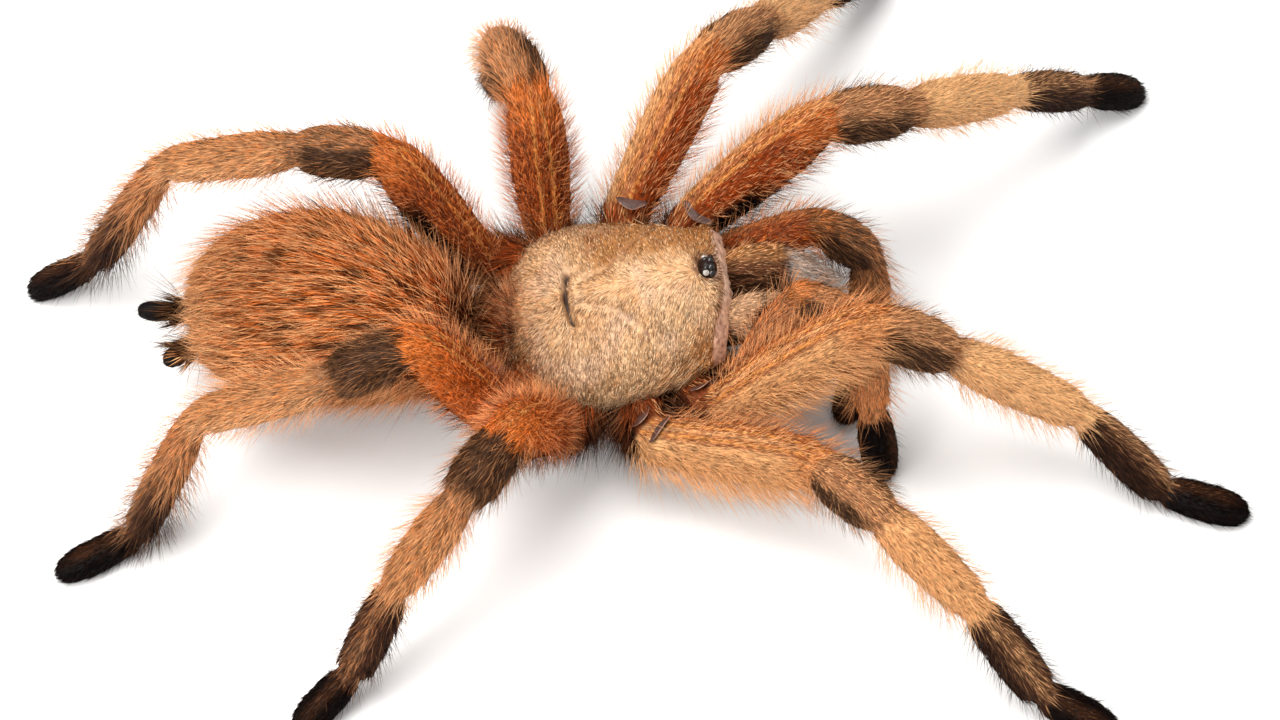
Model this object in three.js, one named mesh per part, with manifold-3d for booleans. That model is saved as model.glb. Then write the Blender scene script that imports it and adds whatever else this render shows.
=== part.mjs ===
// Tarantula, adult female of an orange earth-tiger kind, standing, at life size.
// Millimetres, +Z up. The head faces -Y and the animal's left side is +X. It stands
// on the undersides of its tarsi and palps, and every solid reaches out to the tips of the coat.
import * as THREE from 'three';
import { mergeVertices } from 'three/addons/utils/BufferGeometryUtils.js';
import Module from 'manifold-3d';

// ---------------------------------------------------------------- driving dimensions
const GAP = 0.3;              // thin cut between two nodes that meet
const EYE_GAP = 0.05;         // the eyes are small, so their sockets fit closer
const RIDE_HEIGHT = 8.9;      // carapace margin above the floor
const FLOOR_DIP = 0.25;       // depth of each foot pad that the floor flattens

// Carapace: stations from the front rim to the pedicel notch
const CARAPACE = [
  { y: -9.9, halfWidth: 5.5, top: 2.7 },
  { y: -9.2, halfWidth: 6.0, top: 4.4 },
  { y: -7.2, halfWidth: 6.7, top: 5.7 },
  { y: -3.8, halfWidth: 7.8, top: 5.7 },
  { y: -0.4, halfWidth: 8.7, top: 4.9 },
  { y: 2.8, halfWidth: 8.8, top: 4.2 },
  { y: 5.8, halfWidth: 7.8, top: 3.5 },
  { y: 8.0, halfWidth: 5.6, top: 2.5 },
  { y: 9.1, halfWidth: 3.2, top: 1.6 },
];
const CARAPACE_SKIRT = 0.7;   // depth of the margin below the widest line
const CARAPACE_SIDES = 16;

// Eye mound and its eight eyes: place on the mound and radius, one side of the pair
const MOUND = { x: 0.4, y: -7.85, z: 5.5, halfWidth: 1.15, halfLength: 0.95, height: 0.95 };
const EYES = {
  front_middle: { across: 0.36, along: -0.4, radius: 0.3 },
  front_side: { across: 0.85, along: -0.5, radius: 0.3 },
  rear_side: { across: 0.84, along: 0.22, radius: 0.25 },
  rear_middle: { across: 0.46, along: 0.2, radius: 0.2 },
};
const EYE_DEPTH = 0.3;        // share of its radius that an eye's centre lies below the mound

// Chelicerae and fangs: points along one side's midline, half width and half height there
const CHELICERA = [
  { x: 1.95, y: -7.6, z: -2.0, across: 1.3, up: 1.8 },
  { x: 2.2, y: -9.7, z: 0.5, across: 1.9, up: 2.9 },
  { x: 2.4, y: -11.6, z: 1.4, across: 2.15, up: 3.2 },
  { x: 2.4, y: -14.0, z: 0.9, across: 2.1, up: 3.1 },
  { x: 2.2, y: -16.3, z: -0.4, across: 1.85, up: 2.5 },
  { x: 2.0, y: -17.9, z: -1.9, across: 1.25, up: 1.5 },
];
const FANG = [
  { x: 1.95, y: -17.6, z: -2.9, radius: 0.8 },
  { x: 1.9, y: -17.3, z: -4.0, radius: 0.7 },
  { x: 1.85, y: -16.3, z: -4.8, radius: 0.58 },
  { x: 1.8, y: -14.8, z: -5.0, radius: 0.45 },
  { x: 1.75, y: -13.2, z: -4.6, radius: 0.27 },
];

const STERNUM = { halfWidth: 3.5, halfLength: 4.9, top: -1.0, bottom: -5.2, y: -0.4 };
const LABIUM = { y: -5.4, z: -4.3, halfWidth: 1.3, halfLength: 1.1, halfHeight: 0.9 };
const PEDICEL = { from: 9.4, to: 10.9, z: -0.2, halfWidth: 3.2, halfHeight: 1.5 };

// Abdomen: an egg whose midline rises and swings a little to the left
const ABDOMEN = { from: 11.0, to: 36.8, halfWidth: 8.9, halfHeight: 8.0, blunt: 0.08 };
const ABDOMEN_FULLNESS = 0.85; // below 1 the egg is fuller at its ends
const ABDOMEN_LIFT = 2.6;     // rise of the midline at its middle
const ABDOMEN_SWING = 3.8;    // sideways swing of its rear end
const ABDOMEN_RINGS = 14;
const ABDOMEN_SIDES = 16;

// Spinnerets: root and tip of each, on the rear underside of the abdomen
const SPINNERETS = {
  spinneret_long_L: { root: [5.0, 34.0, -1.9], tip: [5.3, 40.2, -0.9], radius: 0.85 },
  spinneret_long_R: { root: [3.0, 34.0, -1.8], tip: [0.7, 38.3, -2.4], radius: 0.85 },
  spinneret_short_L: { root: [4.6, 32.8, -3.3], tip: [4.7, 35.2, -4.5], radius: 0.5 },
  spinneret_short_R: { root: [3.1, 32.8, -3.3], tip: [2.9, 35.2, -4.5], radius: 0.5 },
};

// Limb segments from the hip outwards: length, half width and half height with the coat
const SEGMENTS = {
  1: { femur: [15.0, 2.5, 3.0], patella: [8.6, 2.45, 2.4], tibia: [12.6, 2.2, 2.15],
    metatarsus: [10.3, 1.9, 1.75], tarsus: [7.6, 1.75, 1.35] },
  2: { femur: [14.0, 2.6, 2.8], patella: [8.3, 2.35, 2.3], tibia: [10.6, 2.15, 2.05],
    metatarsus: [10.2, 1.9, 1.75], tarsus: [7.4, 1.65, 1.25] },
  3: { femur: [13.4, 2.7, 2.75], patella: [7.0, 2.35, 2.3], tibia: [9.3, 2.0, 1.95],
    metatarsus: [9.7, 1.8, 1.65], tarsus: [6.8, 1.5, 1.15] },
  4: { femur: [15.6, 2.55, 2.65], patella: [7.8, 2.3, 2.25], tibia: [12.0, 2.0, 1.95],
    metatarsus: [15.2, 1.7, 1.65], tarsus: [7.5, 1.55, 1.2] },
  P: { femur: [10.0, 1.95, 2.05], patella: [6.0, 2.0, 2.05], tibia: [8.8, 1.9, 1.85],
    tarsus: [7.2, 1.8, 1.45] },
};
// Coxae: inner end beside the sternum and outer end below the carapace margin, left side
const COXAE = {
  1: { inner: [3.2, -4.0, -3.4], outer: [8.6, -6.6, -1.6] },
  2: { inner: [3.9, -1.5, -3.4], outer: [9.8, -1.4, -1.6] },
  3: { inner: [3.9, 1.1, -3.4], outer: [8.6, 4.4, -1.6] },
  4: { inner: [3.1, 3.5, -3.4], outer: [7.1, 8.6, -1.6] },
  P: { inner: [2.3, -5.8, -3.4], outer: [5.6, -9.2, -1.6] },
};
const COXA_RADIUS = { leg: [1.3, 2.0, 1.9], palp: [1.0, 1.5, 1.4] };   // inner, outer, hip
const TROCHANTER = { leg: 2.4, palp: 1.4 };

// Stance: yaw and rise in degrees of the trochanter, femur, patella, tibia, metatarsus and
// tarsus; a palp has no metatarsus. Yaw runs from straight out sideways (0) to forwards (90).
// The tarsus has only a yaw, because it slopes down to the floor.
const STANCE = {
  leg_L1: [[55, 20], [85, 49], [76, -16], [63, -29], [62, -39], [70]],
  leg_L2: [[28, 15], [43, 43], [47, -21], [39, -35], [43, -32], [44]],
  leg_L3: [[-12, 20], [-8, 75], [-17, -7], [-1, -61], [4, -72], [4]],
  leg_L4: [[-88, 12], [-71, 63], [-75, -6], [-82, -14], [-93, -62], [-85]],
  leg_R1: [[78, 15], [92, 42], [86, -35], [70, -24], [57, -40], [67]],
  leg_R2: [[34, -4], [66, 14], [34, 16], [41, -15], [49, -48], [58]],
  leg_R3: [[-60, 14], [-28, 56], [-44, -17], [-51, -34], [-56, -60], [-56]],
  leg_R4: [[-35, 12], [-91, 63], [-81, -23], [-89, -17], [-67, -64], [-68]],
  palp_L: [[60, 15], [107, 39], [101, -46], [180, -58], [208]],
  palp_R: [[55, 15], [112, 58], [58, -12], [10, -73], [16]],
};

// Share of the full width at places along a segment, from its inner to its outer end
const SWELL = {
  femur: [[0.2, 0.9], [0.45, 1], [0.78, 0.98], [1, 0.86]],
  patella: [[0.5, 1.03], [1, 0.9]],
  tibia: [[0.35, 1.02], [0.72, 0.96], [1, 0.85]],
  metatarsus: [[0.3, 0.98], [0.65, 1], [1, 0.88]],
  tarsus: [[0.3, 1], [0.65, 1], [0.88, 0.76], [1, 0.4]],
};
const JOINT_WAIST = 0.84;     // share of the full width where two nodes meet
const LIMB_SIDES = 10;

// ---------------------------------------------------------------- helpers
const wasm = await Module();
wasm.setup();

const vec = (x, y, z) => new THREE.Vector3(x, y, z);
const radians = THREE.MathUtils.degToRad;
const body = (x, y, z) => vec(x, y, z + RIDE_HEIGHT);

function closedMesh(geometry) {
  geometry.deleteAttribute('normal');
  geometry.deleteAttribute('uv');
  return mergeVertices(geometry, 1e-5);
}

// A body swept through stations: each ring of a unit cylinder is laid on its station.
// A station has a place (at), a travel direction (along), a side direction (across), the
// plane its ring lies in (facing), half width, height above and depth below.
function sweep(stations, sides) {
  const last = stations.length - 1;
  const geometry = closedMesh(new THREE.CylinderGeometry(1, 1, 1, sides, last));
  const place = geometry.getAttribute('position');
  for (let i = 0; i < place.count; i++) {
    const s = stations[Math.round((0.5 - place.getY(i)) * last)];
    const up = s.along.clone().cross(s.across).normalize();
    const side = place.getX(i);
    const rise = place.getZ(i);
    const point = s.across.clone().multiplyScalar(side * s.halfWidth)
      .addScaledVector(up, rise * (rise > 0 ? s.top : s.bottom));
    const facing = s.facing ?? s.along;
    point.addScaledVector(s.along, -point.dot(facing) / s.along.dot(facing)).add(s.at);
    place.setXYZ(i, point.x, point.y, point.z);
  }
  return geometry;
}

function toSolid(geometry) {
  return new wasm.Manifold(new wasm.Mesh({
    numProp: 3,
    vertProperties: new Float32Array(geometry.getAttribute('position').array),
    triVerts: new Uint32Array(geometry.getIndex().array),
  }));
}

function toGeometry(solid) {
  const mesh = solid.getMesh();
  const geometry = new THREE.BufferGeometry();
  geometry.setAttribute('position', new THREE.BufferAttribute(mesh.vertProperties, 3));
  geometry.setIndex(new THREE.BufferAttribute(mesh.triVerts, 1));
  return geometry;
}

function ellipsoid(centre, radii, columns, rows) {
  const geometry = closedMesh(new THREE.SphereGeometry(1, columns, rows));
  geometry.scale(...radii).translate(centre.x, centre.y, centre.z);
  return geometry;
}

const oval = (halfWidth, halfHeight) => ({ halfWidth, top: halfHeight, bottom: halfHeight });
const backwards = vec(0, 1, 0);
const mirrorX = (side, [x, y, z]) => body(side * x, y, z);

// The level side axis of a direction, and a side axis carried on to a new direction
const level = (along) => vec(0, 0, 1).cross(along).normalize();
const carry = (across, along) => across.clone().addScaledVector(along, -across.dot(along))
  .normalize();

// ---------------------------------------------------------------- nodes
// Each node has a shape(grow): the same solid, grown by a margin for cutting its neighbours.
const nodes = [];
function addNode(name, finish, shape) {
  nodes.push({ name, finish, shape });
}

function makeEye(name, side, { across, along, radius }) {
  const x = side * across;
  const y = along;
  const bulge = 1 - (x / MOUND.halfWidth) ** 2 - (y / MOUND.halfLength) ** 2;
  const z = MOUND.z + MOUND.height * Math.sqrt(Math.max(bulge, 0)) - radius * EYE_DEPTH;
  addNode(name, 'eye', (grow) => toSolid(ellipsoid(body(MOUND.x + x, MOUND.y + y, z),
    [radius + grow, radius + grow, radius + grow], 8, 5)));
}

function makeCarapace() {
  addNode('carapace', 'carapace', (grow) => {
    const shell = sweep(CARAPACE.map((s, i) => {
      const end = i === 0 ? -grow : i === CARAPACE.length - 1 ? grow : 0;
      return {
        at: body(0, s.y + end, 0), along: backwards, across: vec(-1, 0, 0),
        halfWidth: s.halfWidth + grow, top: s.top + grow, bottom: CARAPACE_SKIRT + grow,
      };
    }), CARAPACE_SIDES);
    const mound = ellipsoid(body(MOUND.x, MOUND.y, MOUND.z),
      [MOUND.halfWidth, MOUND.halfLength, MOUND.height], 12, 6);
    return toSolid(shell).add(toSolid(mound));
  });
}

// A tapering body bent through a few points, one side's listed and the other's mirrored
function bentBody(side, points, sides, grow) {
  const places = points.map(({ x, y, z }) => body(side * x, y, z));
  return toSolid(sweep(points.map((point, i) => ({
    at: places[i],
    along: places[Math.min(i + 1, places.length - 1)].clone()
      .sub(places[Math.max(i - 1, 0)]).normalize(),
    across: vec(1, 0, 0),
    ...oval((point.across ?? point.radius) + grow, (point.up ?? point.radius) + grow),
  })), sides));
}

function makeChelicera(side, mark) {
  addNode(`chelicera_${mark}`, 'fur', (grow) => bentBody(side, CHELICERA, 12, grow));
  addNode(`fang_${mark}`, 'fang', (grow) => bentBody(side, FANG, 6, grow));
}

function makeTrunk() {
  addNode('sternum', 'fur', (grow) => {
    const rings = [-1, -0.75, -0.3, 0.3, 0.75, 1];
    const middle = (STERNUM.top + STERNUM.bottom) / 2;
    const half = (STERNUM.top - STERNUM.bottom) / 2 + grow;
    const shield = sweep(rings.map((s) => ({
      at: body(0, STERNUM.y + s * STERNUM.halfLength, middle), along: backwards,
      across: vec(-1, 0, 0),
      ...oval(STERNUM.halfWidth * (1 - 0.6 * s ** 4) + grow, half * (1 - 0.35 * s ** 4)),
    })), 14);
    const lip = ellipsoid(body(0, LABIUM.y, LABIUM.z),
      [LABIUM.halfWidth + grow, LABIUM.halfLength + grow, LABIUM.halfHeight + grow], 10, 6);
    return toSolid(shield).add(toSolid(lip));
  });
  addNode('pedicel', 'fur', (grow) => {
    const { from, to, z, halfWidth, halfHeight } = PEDICEL;
    const tube = closedMesh(new THREE.CylinderGeometry(1, 1, to - from, 12));
    const place = body(0, (from + to) / 2, z);
    tube.scale(halfWidth + grow, 1, halfHeight + grow);
    return toSolid(tube.translate(place.x, place.y, place.z));
  });
  addNode('abdomen', 'fur', (grow) => {
    const stations = [];
    for (let i = 0; i < ABDOMEN_RINGS; i++) {
      const turn = Math.PI * (0.06 + 0.87 * i / (ABDOMEN_RINGS - 1));
      const share = (1 - Math.cos(turn)) / 2;
      const girth = Math.sin(turn) ** ABDOMEN_FULLNESS * (1 + ABDOMEN.blunt * (2 * share - 1));
      stations.push({
        at: body(ABDOMEN_SWING * share ** 1.3,
          ABDOMEN.from + share * (ABDOMEN.to - ABDOMEN.from),
          ABDOMEN_LIFT * Math.sin(Math.PI * share ** 0.9)),
        along: backwards, across: vec(-1, 0, 0),
        ...oval(ABDOMEN.halfWidth * girth + grow, ABDOMEN.halfHeight * girth + grow),
      });
    }
    return toSolid(sweep(stations, ABDOMEN_SIDES));
  });
}

function makeSpinneret(name, { root, tip, radius }) {
  addNode(name, 'spinneret', (grow) => {
    const start = body(...root);
    const end = body(...tip);
    const along = end.clone().sub(start).normalize();
    const across = level(along);
    const swell = [[0, 1], [0.3, 1.05], [0.62, 0.98], [0.9, 0.8], [1, 0.4]];
    return toSolid(sweep(swell.map(([share, width]) => ({
      at: start.clone().lerp(end, share), along, across,
      ...oval(radius * width + grow, radius * width + grow),
    })), 8));
  });
}

// A limb is a chain of points with a direction and a side axis for each segment
function limbChain(name) {
  const side = name.includes('_L') ? 1 : -1;
  const kind = name.startsWith('palp') ? 'palp' : 'leg';
  const size = SEGMENTS[kind === 'palp' ? 'P' : name.slice(-1)];
  const coxa = COXAE[kind === 'palp' ? 'P' : name.slice(-1)];
  const heading = (yaw, rise) => vec(
    side * Math.cos(radians(rise)) * Math.cos(radians(yaw)),
    -Math.cos(radians(rise)) * Math.sin(radians(yaw)),
    Math.sin(radians(rise)));
  const chain = [];
  function step(label, from, to, along, halfWidth, halfHeight) {
    // from the femur outwards the side axis is carried on, so that the limb doesn't twist
    const carried = chain.length > 2 ? carry(chain.at(-1).across, along) : level(along);
    chain.push({ label, from, to, along, across: carried, halfWidth, halfHeight });
  }
  const inner = mirrorX(side, coxa.inner);
  const outer = mirrorX(side, coxa.outer);
  const [innerRadius, outerRadius, hipRadius] = COXA_RADIUS[kind];
  step('coxa', inner, outer, outer.clone().sub(inner).normalize(), innerRadius, outerRadius);
  const [socket, ...stance] = STANCE[name];
  const turn = heading(...socket);
  const hip = outer.clone().addScaledVector(turn, TROCHANTER[kind]);
  step('trochanter', outer, hip, turn, hipRadius, hipRadius);
  let joint = hip;
  Object.entries(size).forEach(([label, [length, halfWidth, halfHeight]], i) => {
    const [yaw, rise] = stance[i];
    // the last segment slopes so that its pad dips just below the floor
    const drop = joint.z + FLOOR_DIP - halfHeight * 0.9;
    const slope = rise ?? -THREE.MathUtils.radToDeg(Math.asin(drop / (length * 0.84)));
    const along = heading(yaw, slope);
    const end = joint.clone().addScaledVector(along, length);
    step(label, joint, end, along, halfWidth, halfHeight);
    joint = end;
  });
  return chain;
}

// The oval of a segment in a plane that slants across it, no wider than the segment itself
function mitreOval(segment, facing, width, grow) {
  const up = segment.along.clone().cross(segment.across);
  const share = (axis) => {
    const slant = facing.dot(axis) / facing.dot(segment.along);
    return 1 / Math.sqrt(1 + slant * slant);
  };
  return oval((segment.halfWidth * width + grow) * share(segment.across),
    (segment.halfHeight * width + grow) * share(up));
}

function jointStation(before, after, place, width, height) {
  const facing = before.along.clone().add(after.along).normalize();
  return { at: place, along: facing, across: carry(before.across, facing), facing,
    ...oval(width, height) };
}

// Stations of the segments first..last of a chain, ended on the mitre planes of its joints
function limbStations(chain, first, last, grow) {
  const stations = [];
  const mitre = (a, b) => (a && b ? a.along.clone().add(b.along).normalize() : null);
  const opening = mitre(chain[first - 1], chain[first]);
  const head = chain[first];
  if (head.label !== 'coxa') {
    stations.push({
      at: head.from.clone().addScaledVector(opening, GAP / 2 - grow), along: head.along,
      across: head.across, facing: opening,
      ...mitreOval(head, opening, JOINT_WAIST, grow),
    });
  }
  for (let i = first; i <= last; i++) {
    const s = chain[i];
    const after = chain[i + 1];
    for (const [share, width] of SWELL[s.label]) {
      if (share === 1 && i < last) {
        stations.push(jointStation(s, after, s.to.clone(),
          (s.halfWidth + after.halfWidth) / 2 * width + grow,
          (s.halfHeight + after.halfHeight) / 2 * width + grow));
        continue;
      }
      const closing = share === 1 ? mitre(s, after) : null;
      const at = s.from.clone().lerp(s.to, share);
      if (closing) at.addScaledVector(closing, grow - GAP / 2);
      else if (share === 1) at.addScaledVector(s.along, grow);
      const facing = closing ?? s.along;
      stations.push({ at, along: s.along, across: s.across, facing,
        ...mitreOval(s, facing, width, grow) });
    }
  }
  return stations;
}

function makeLimb(name) {
  const chain = limbChain(name);
  const [coxa, trochanter, femur] = chain;
  addNode(`${name}_coxa`, 'fur', (grow) => {
    const round = (radius) => oval(radius + grow, radius + grow);
    const closing = trochanter.along.clone().add(femur.along).normalize();
    const knuckle = jointStation(coxa, trochanter, coxa.to.clone(), 0, 0);
    return toSolid(sweep([
      { at: coxa.from.clone().addScaledVector(coxa.along, -grow), along: coxa.along,
        across: coxa.across, ...round(coxa.halfWidth) },
      { ...knuckle, at: coxa.from.clone().lerp(coxa.to, 0.6), ...round(coxa.halfHeight * 0.95) },
      { ...knuckle, ...round(coxa.halfHeight) },
      { at: trochanter.to.clone().addScaledVector(closing, grow - GAP / 2),
        along: trochanter.along, across: trochanter.across, facing: closing,
        ...round(trochanter.halfWidth) },
    ], LIMB_SIDES));
  });
  const segment = (label, first, last) => addNode(`${name}_${label}`, 'fur',
    (grow) => toSolid(sweep(limbStations(chain, first, last, grow), LIMB_SIDES)));
  segment('femur', 2, 2);
  segment('shin', 3, 4);
  segment('foot', 5, chain.length - 1);
}

// ---------------------------------------------------------------- assembly
// Nodes listed first keep their whole shape; later ones are cut clear of them.
for (const [place, eye] of Object.entries(EYES)) {
  makeEye(`eye_${place}_L`, 1, eye);
  makeEye(`eye_${place}_R`, -1, eye);
}
makeCarapace();
makeChelicera(1, 'L');
makeChelicera(-1, 'R');
makeTrunk();
for (const [name, spinneret] of Object.entries(SPINNERETS)) makeSpinneret(name, spinneret);
for (const name of Object.keys(STANCE)) makeLimb(name);

// Coxae give way to everything else, and the carapace to the eyes in it
const keepOrder = (node) => (node.name.endsWith('_coxa') ? 1 : 0);
nodes.sort((a, b) => keepOrder(a) - keepOrder(b));

const floor = toSolid(closedMesh(new THREE.BoxGeometry(300, 300, 10).translate(0, 0, -5)));

function largestPiece(solid) {
  return solid.decompose().reduce((best, piece) => (piece.volume() > best.volume() ? piece : best));
}

const reach = (solid) => {
  const { min, max } = solid.boundingBox();
  return new THREE.Box3(vec(...min), vec(...max));
};

const built = [];
for (const node of nodes) {
  let solid = node.shape(0).subtract(floor);
  for (const other of built) {
    const gap = other.node.finish === 'eye' ? EYE_GAP : GAP;
    if (!reach(solid).intersectsBox(other.box.clone().expandByScalar(gap))) continue;
    const grown = other.node.shape(gap);
    if (solid.intersect(grown).volume() > 0) solid = solid.subtract(grown);
  }
  solid = largestPiece(solid);
  built.push({ node, solid, box: reach(solid) });
}

// ---------------------------------------------------------------- finishes and origin
const FINISHES = {
  fur: { color: 0xc4682f, roughness: 0.85, metalness: 0 },
  carapace: { color: 0xd2a364, roughness: 0.7, metalness: 0 },
  spinneret: { color: 0x1d1714, roughness: 0.8, metalness: 0 },
  fang: { color: 0x16100d, roughness: 0.25, metalness: 0 },
  eye: { color: 0x08080a, roughness: 0.06, metalness: 0 },
};

const tarantula = new THREE.Group();
const whole = new THREE.Box3();
for (const { box } of built) whole.union(box);
const middle = whole.getCenter(vec(0, 0, 0));
for (const { node, solid } of built) {
  const mesh = new THREE.Mesh(toGeometry(solid), new THREE.MeshStandardMaterial(FINISHES[node.finish]));
  mesh.name = node.name;
  tarantula.add(mesh);
}
// the origin lies on the floor under the middle of the animal's reach
tarantula.position.set(-middle.x, -middle.y, 0);

export default tarantula;
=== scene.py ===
import math
import bmesh
import bpy
import numpy as np
from mathutils import Matrix, Vector, kdtree, noise


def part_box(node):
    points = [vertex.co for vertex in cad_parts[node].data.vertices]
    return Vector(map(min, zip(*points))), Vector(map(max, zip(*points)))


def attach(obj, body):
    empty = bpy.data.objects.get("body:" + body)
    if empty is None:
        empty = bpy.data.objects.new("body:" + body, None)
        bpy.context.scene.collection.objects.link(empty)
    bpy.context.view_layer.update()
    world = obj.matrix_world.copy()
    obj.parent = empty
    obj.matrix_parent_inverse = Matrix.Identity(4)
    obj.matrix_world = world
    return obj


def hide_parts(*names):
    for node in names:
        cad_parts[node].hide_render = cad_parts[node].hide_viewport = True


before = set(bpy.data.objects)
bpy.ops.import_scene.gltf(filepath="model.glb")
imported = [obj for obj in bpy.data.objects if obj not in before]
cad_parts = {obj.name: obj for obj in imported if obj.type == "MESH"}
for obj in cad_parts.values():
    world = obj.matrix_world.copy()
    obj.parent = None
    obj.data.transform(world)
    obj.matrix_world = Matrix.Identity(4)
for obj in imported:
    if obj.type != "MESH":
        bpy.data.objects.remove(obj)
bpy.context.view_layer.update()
MM = 0.001

# ======================================================================================
# The studio. A white floor under a big soft lamp nearly overhead, with pale light from all
# round. The camera looks down on the back from the right side.
shell_low, shell_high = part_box("carapace")
SHELL_TO_RIM = 9.9 * MM        # from the middle of the carapace forward to its rim
ground = Vector(((shell_low.x + shell_high.x) / 2, shell_low.y + SHELL_TO_RIM, 0))


def aim(obj, place, backward, roll=0.0):
    """Sets a camera or lamp at a place, looking away from the backward direction."""
    right = Vector((0, 0, 1)).cross(backward).normalized()
    up = backward.cross(right)
    right, up = (right * math.cos(roll) + up * math.sin(roll),
                 up * math.cos(roll) - right * math.sin(roll))
    turn = Matrix((right, up, backward)).transposed().to_4x4()
    obj.matrix_world = Matrix.Translation(place) @ turn
    return right, up


def show(name, data):
    """A new object in the scene, from a mesh, a lamp or a camera."""
    obj = bpy.data.objects.new(name, data)
    bpy.context.scene.collection.objects.link(obj)
    return obj


def direction(azimuth, elevation):
    """The direction from the animal towards a viewer; azimuth 0 is in front of the head."""
    azimuth, elevation = math.radians(azimuth), math.radians(elevation)
    return Vector((math.sin(azimuth) * math.cos(elevation),
                   -math.cos(azimuth) * math.cos(elevation), math.sin(elevation)))


VIEW_FROM = direction(-95, 58.3)
VIEW_DISTANCE = 453 * MM
CAMERA_ROLL = math.radians(-0.9)
CAMERA_RIGHT, CAMERA_UP = 2.04 * MM, 0.87 * MM      # off the line to the animal's middle
lens = bpy.data.cameras.new("camera")
lens.lens, lens.sensor_width = 148.3, 36
lens.clip_start, lens.clip_end = 0.01, 20
camera = show("camera", lens)
right, up = aim(camera, ground, VIEW_FROM, CAMERA_ROLL)
camera.location = ground + VIEW_DISTANCE * VIEW_FROM + CAMERA_RIGHT * right + CAMERA_UP * up
bpy.context.scene.camera = camera

for name, azimuth, elevation, distance, size, watts in (
        ("key", 150, 76, 0.75, 0.50, 5.8), ("fill", -145, 42, 0.6, 0.28, 2.6)):
    lamp = bpy.data.lights.new(name, "AREA")
    lamp.size, lamp.energy = size, watts
    lamp.color = (1.0, 0.985, 0.96)
    aim(show(name, lamp), ground + distance * direction(azimuth, elevation), direction(azimuth, elevation))

world = bpy.data.worlds.new("studio")
world.use_nodes = True
sky = world.node_tree.nodes["Background"].inputs
sky["Color"].default_value, sky["Strength"].default_value = (1, 1, 1, 1), 0.62
bpy.context.scene.world = world
bpy.context.scene.view_settings.view_transform = "Standard"


class Signal:
    """A socket of a material's nodes. Sums on signals add Math nodes to the material."""

    def __init__(self, tree, socket=None):
        self.tree, self.socket = tree, socket

    def make(self, kind, settings=None, inputs=None, output=0):
        """A new node of a kind, its settings made first, then its sockets filled."""
        node = self.tree.nodes.new(kind)
        for key, value in (settings or {}).items():
            if key == "stops":
                while len(node.color_ramp.elements) < len(value):
                    node.color_ramp.elements.new(1.0)
                for element, (at, colour) in zip(node.color_ramp.elements, value):
                    element.position, element.color = at, (*colour, 1.0)
            else:
                setattr(node, key, value)
        for key, value in (inputs or {}).items():
            if isinstance(value, Signal):
                self.tree.links.new(value.socket, node.inputs[key])
            else:
                node.inputs[key].default_value = value
        return Signal(self.tree, node.outputs[output])

    def math(self, operation, a, b=0.0):
        return self.make("ShaderNodeMath", {"operation": operation}, {0: a, 1: b})

    def __add__(self, other):
        return self.math("ADD", self, other)

    def __sub__(self, other):
        return self.math("SUBTRACT", self, other)

    def __rsub__(self, other):
        return self.math("SUBTRACT", other, self)

    def __mul__(self, other):
        return self.math("MULTIPLY", self, other)

    __radd__ = __add__
    __rmul__ = __mul__

    def tinted(self, colour):
        """This colour times another."""
        return self.make("ShaderNodeMix", {"data_type": "RGBA", "blend_type": "MULTIPLY"},
                         {"Factor": 1.0, 6: self, 7: colour}, 2)

    def cloud(self, scale, detail=2.0):
        """Noise that stays fixed to the piece."""
        where = self.make("ShaderNodeTexCoord", output="Object")
        return self.make("ShaderNodeTexNoise", inputs={"Vector": where, "Scale": scale, "Detail": detail})

    def shades(self, *stops):
        """This value as a colour, between colours at given values."""
        return self.make("ShaderNodeValToRGB", {"stops": stops}, {"Fac": self})

    def relief(self, strength, depth):
        """This value as small bumps."""
        return self.make("ShaderNodeBump", inputs={"Height": self, "Strength": strength, "Distance": depth})

    def stored(self, name, output=0):
        """A value stored on the mesh at each vertex."""
        return self.make("ShaderNodeAttribute", {"attribute_name": name}, output=output)


def new_material(name, **constants):
    """A material and a signal on its tree; constants set sockets of its Principled shader."""
    material = bpy.data.materials.new(name)
    material.use_nodes = True
    shader = material.node_tree.nodes["Principled BSDF"]
    for key, value in constants.items():
        shader.inputs[key.replace("_", " ")].default_value = value
    return material, Signal(material.node_tree)


def feed(material, **signals):
    """Joins signals to the sockets of a material's Principled shader."""
    shader = material.node_tree.nodes["Principled BSDF"]
    for key, signal in signals.items():
        material.node_tree.links.new(signal.socket, shader.inputs[key.replace("_", " ")])


paper, paint = new_material("white_paper", Roughness=0.9)
feed(paper, Base_Color=paint.cloud(30.0).shades((0.3, (0.93, 0.93, 0.93)), (0.7, (0.95, 0.95, 0.95))))

bm = bmesh.new()
bmesh.ops.create_grid(bm, x_segments=4, y_segments=4, size=1.5)
mesh = bpy.data.meshes.new("floor")
bm.to_mesh(mesh)
bm.free()
floor = show("floor", mesh)
mesh.materials.append(paper)

# ======================================================================================
# The skin. One tough brown hide over abdomen, waist, jaws, coxae, legs and palps, as an
# animal's is: each part is lofted or drawn from a ball inside its solid, by the depth of
# the coat, and all are melted into one surface.
RIDE_HEIGHT = 8.9              # the carapace margin above the floor, mm


def body(x, y, z):
    """A place given in millimetres from the middle of the carapace margin."""
    return ground + Vector((x, y, z + RIDE_HEIGHT)) * MM


def in_body(points):
    """Rows of points as millimetres from the middle of the carapace margin."""
    return (points - np.array(body(0, 0, 0))) / MM


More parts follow.
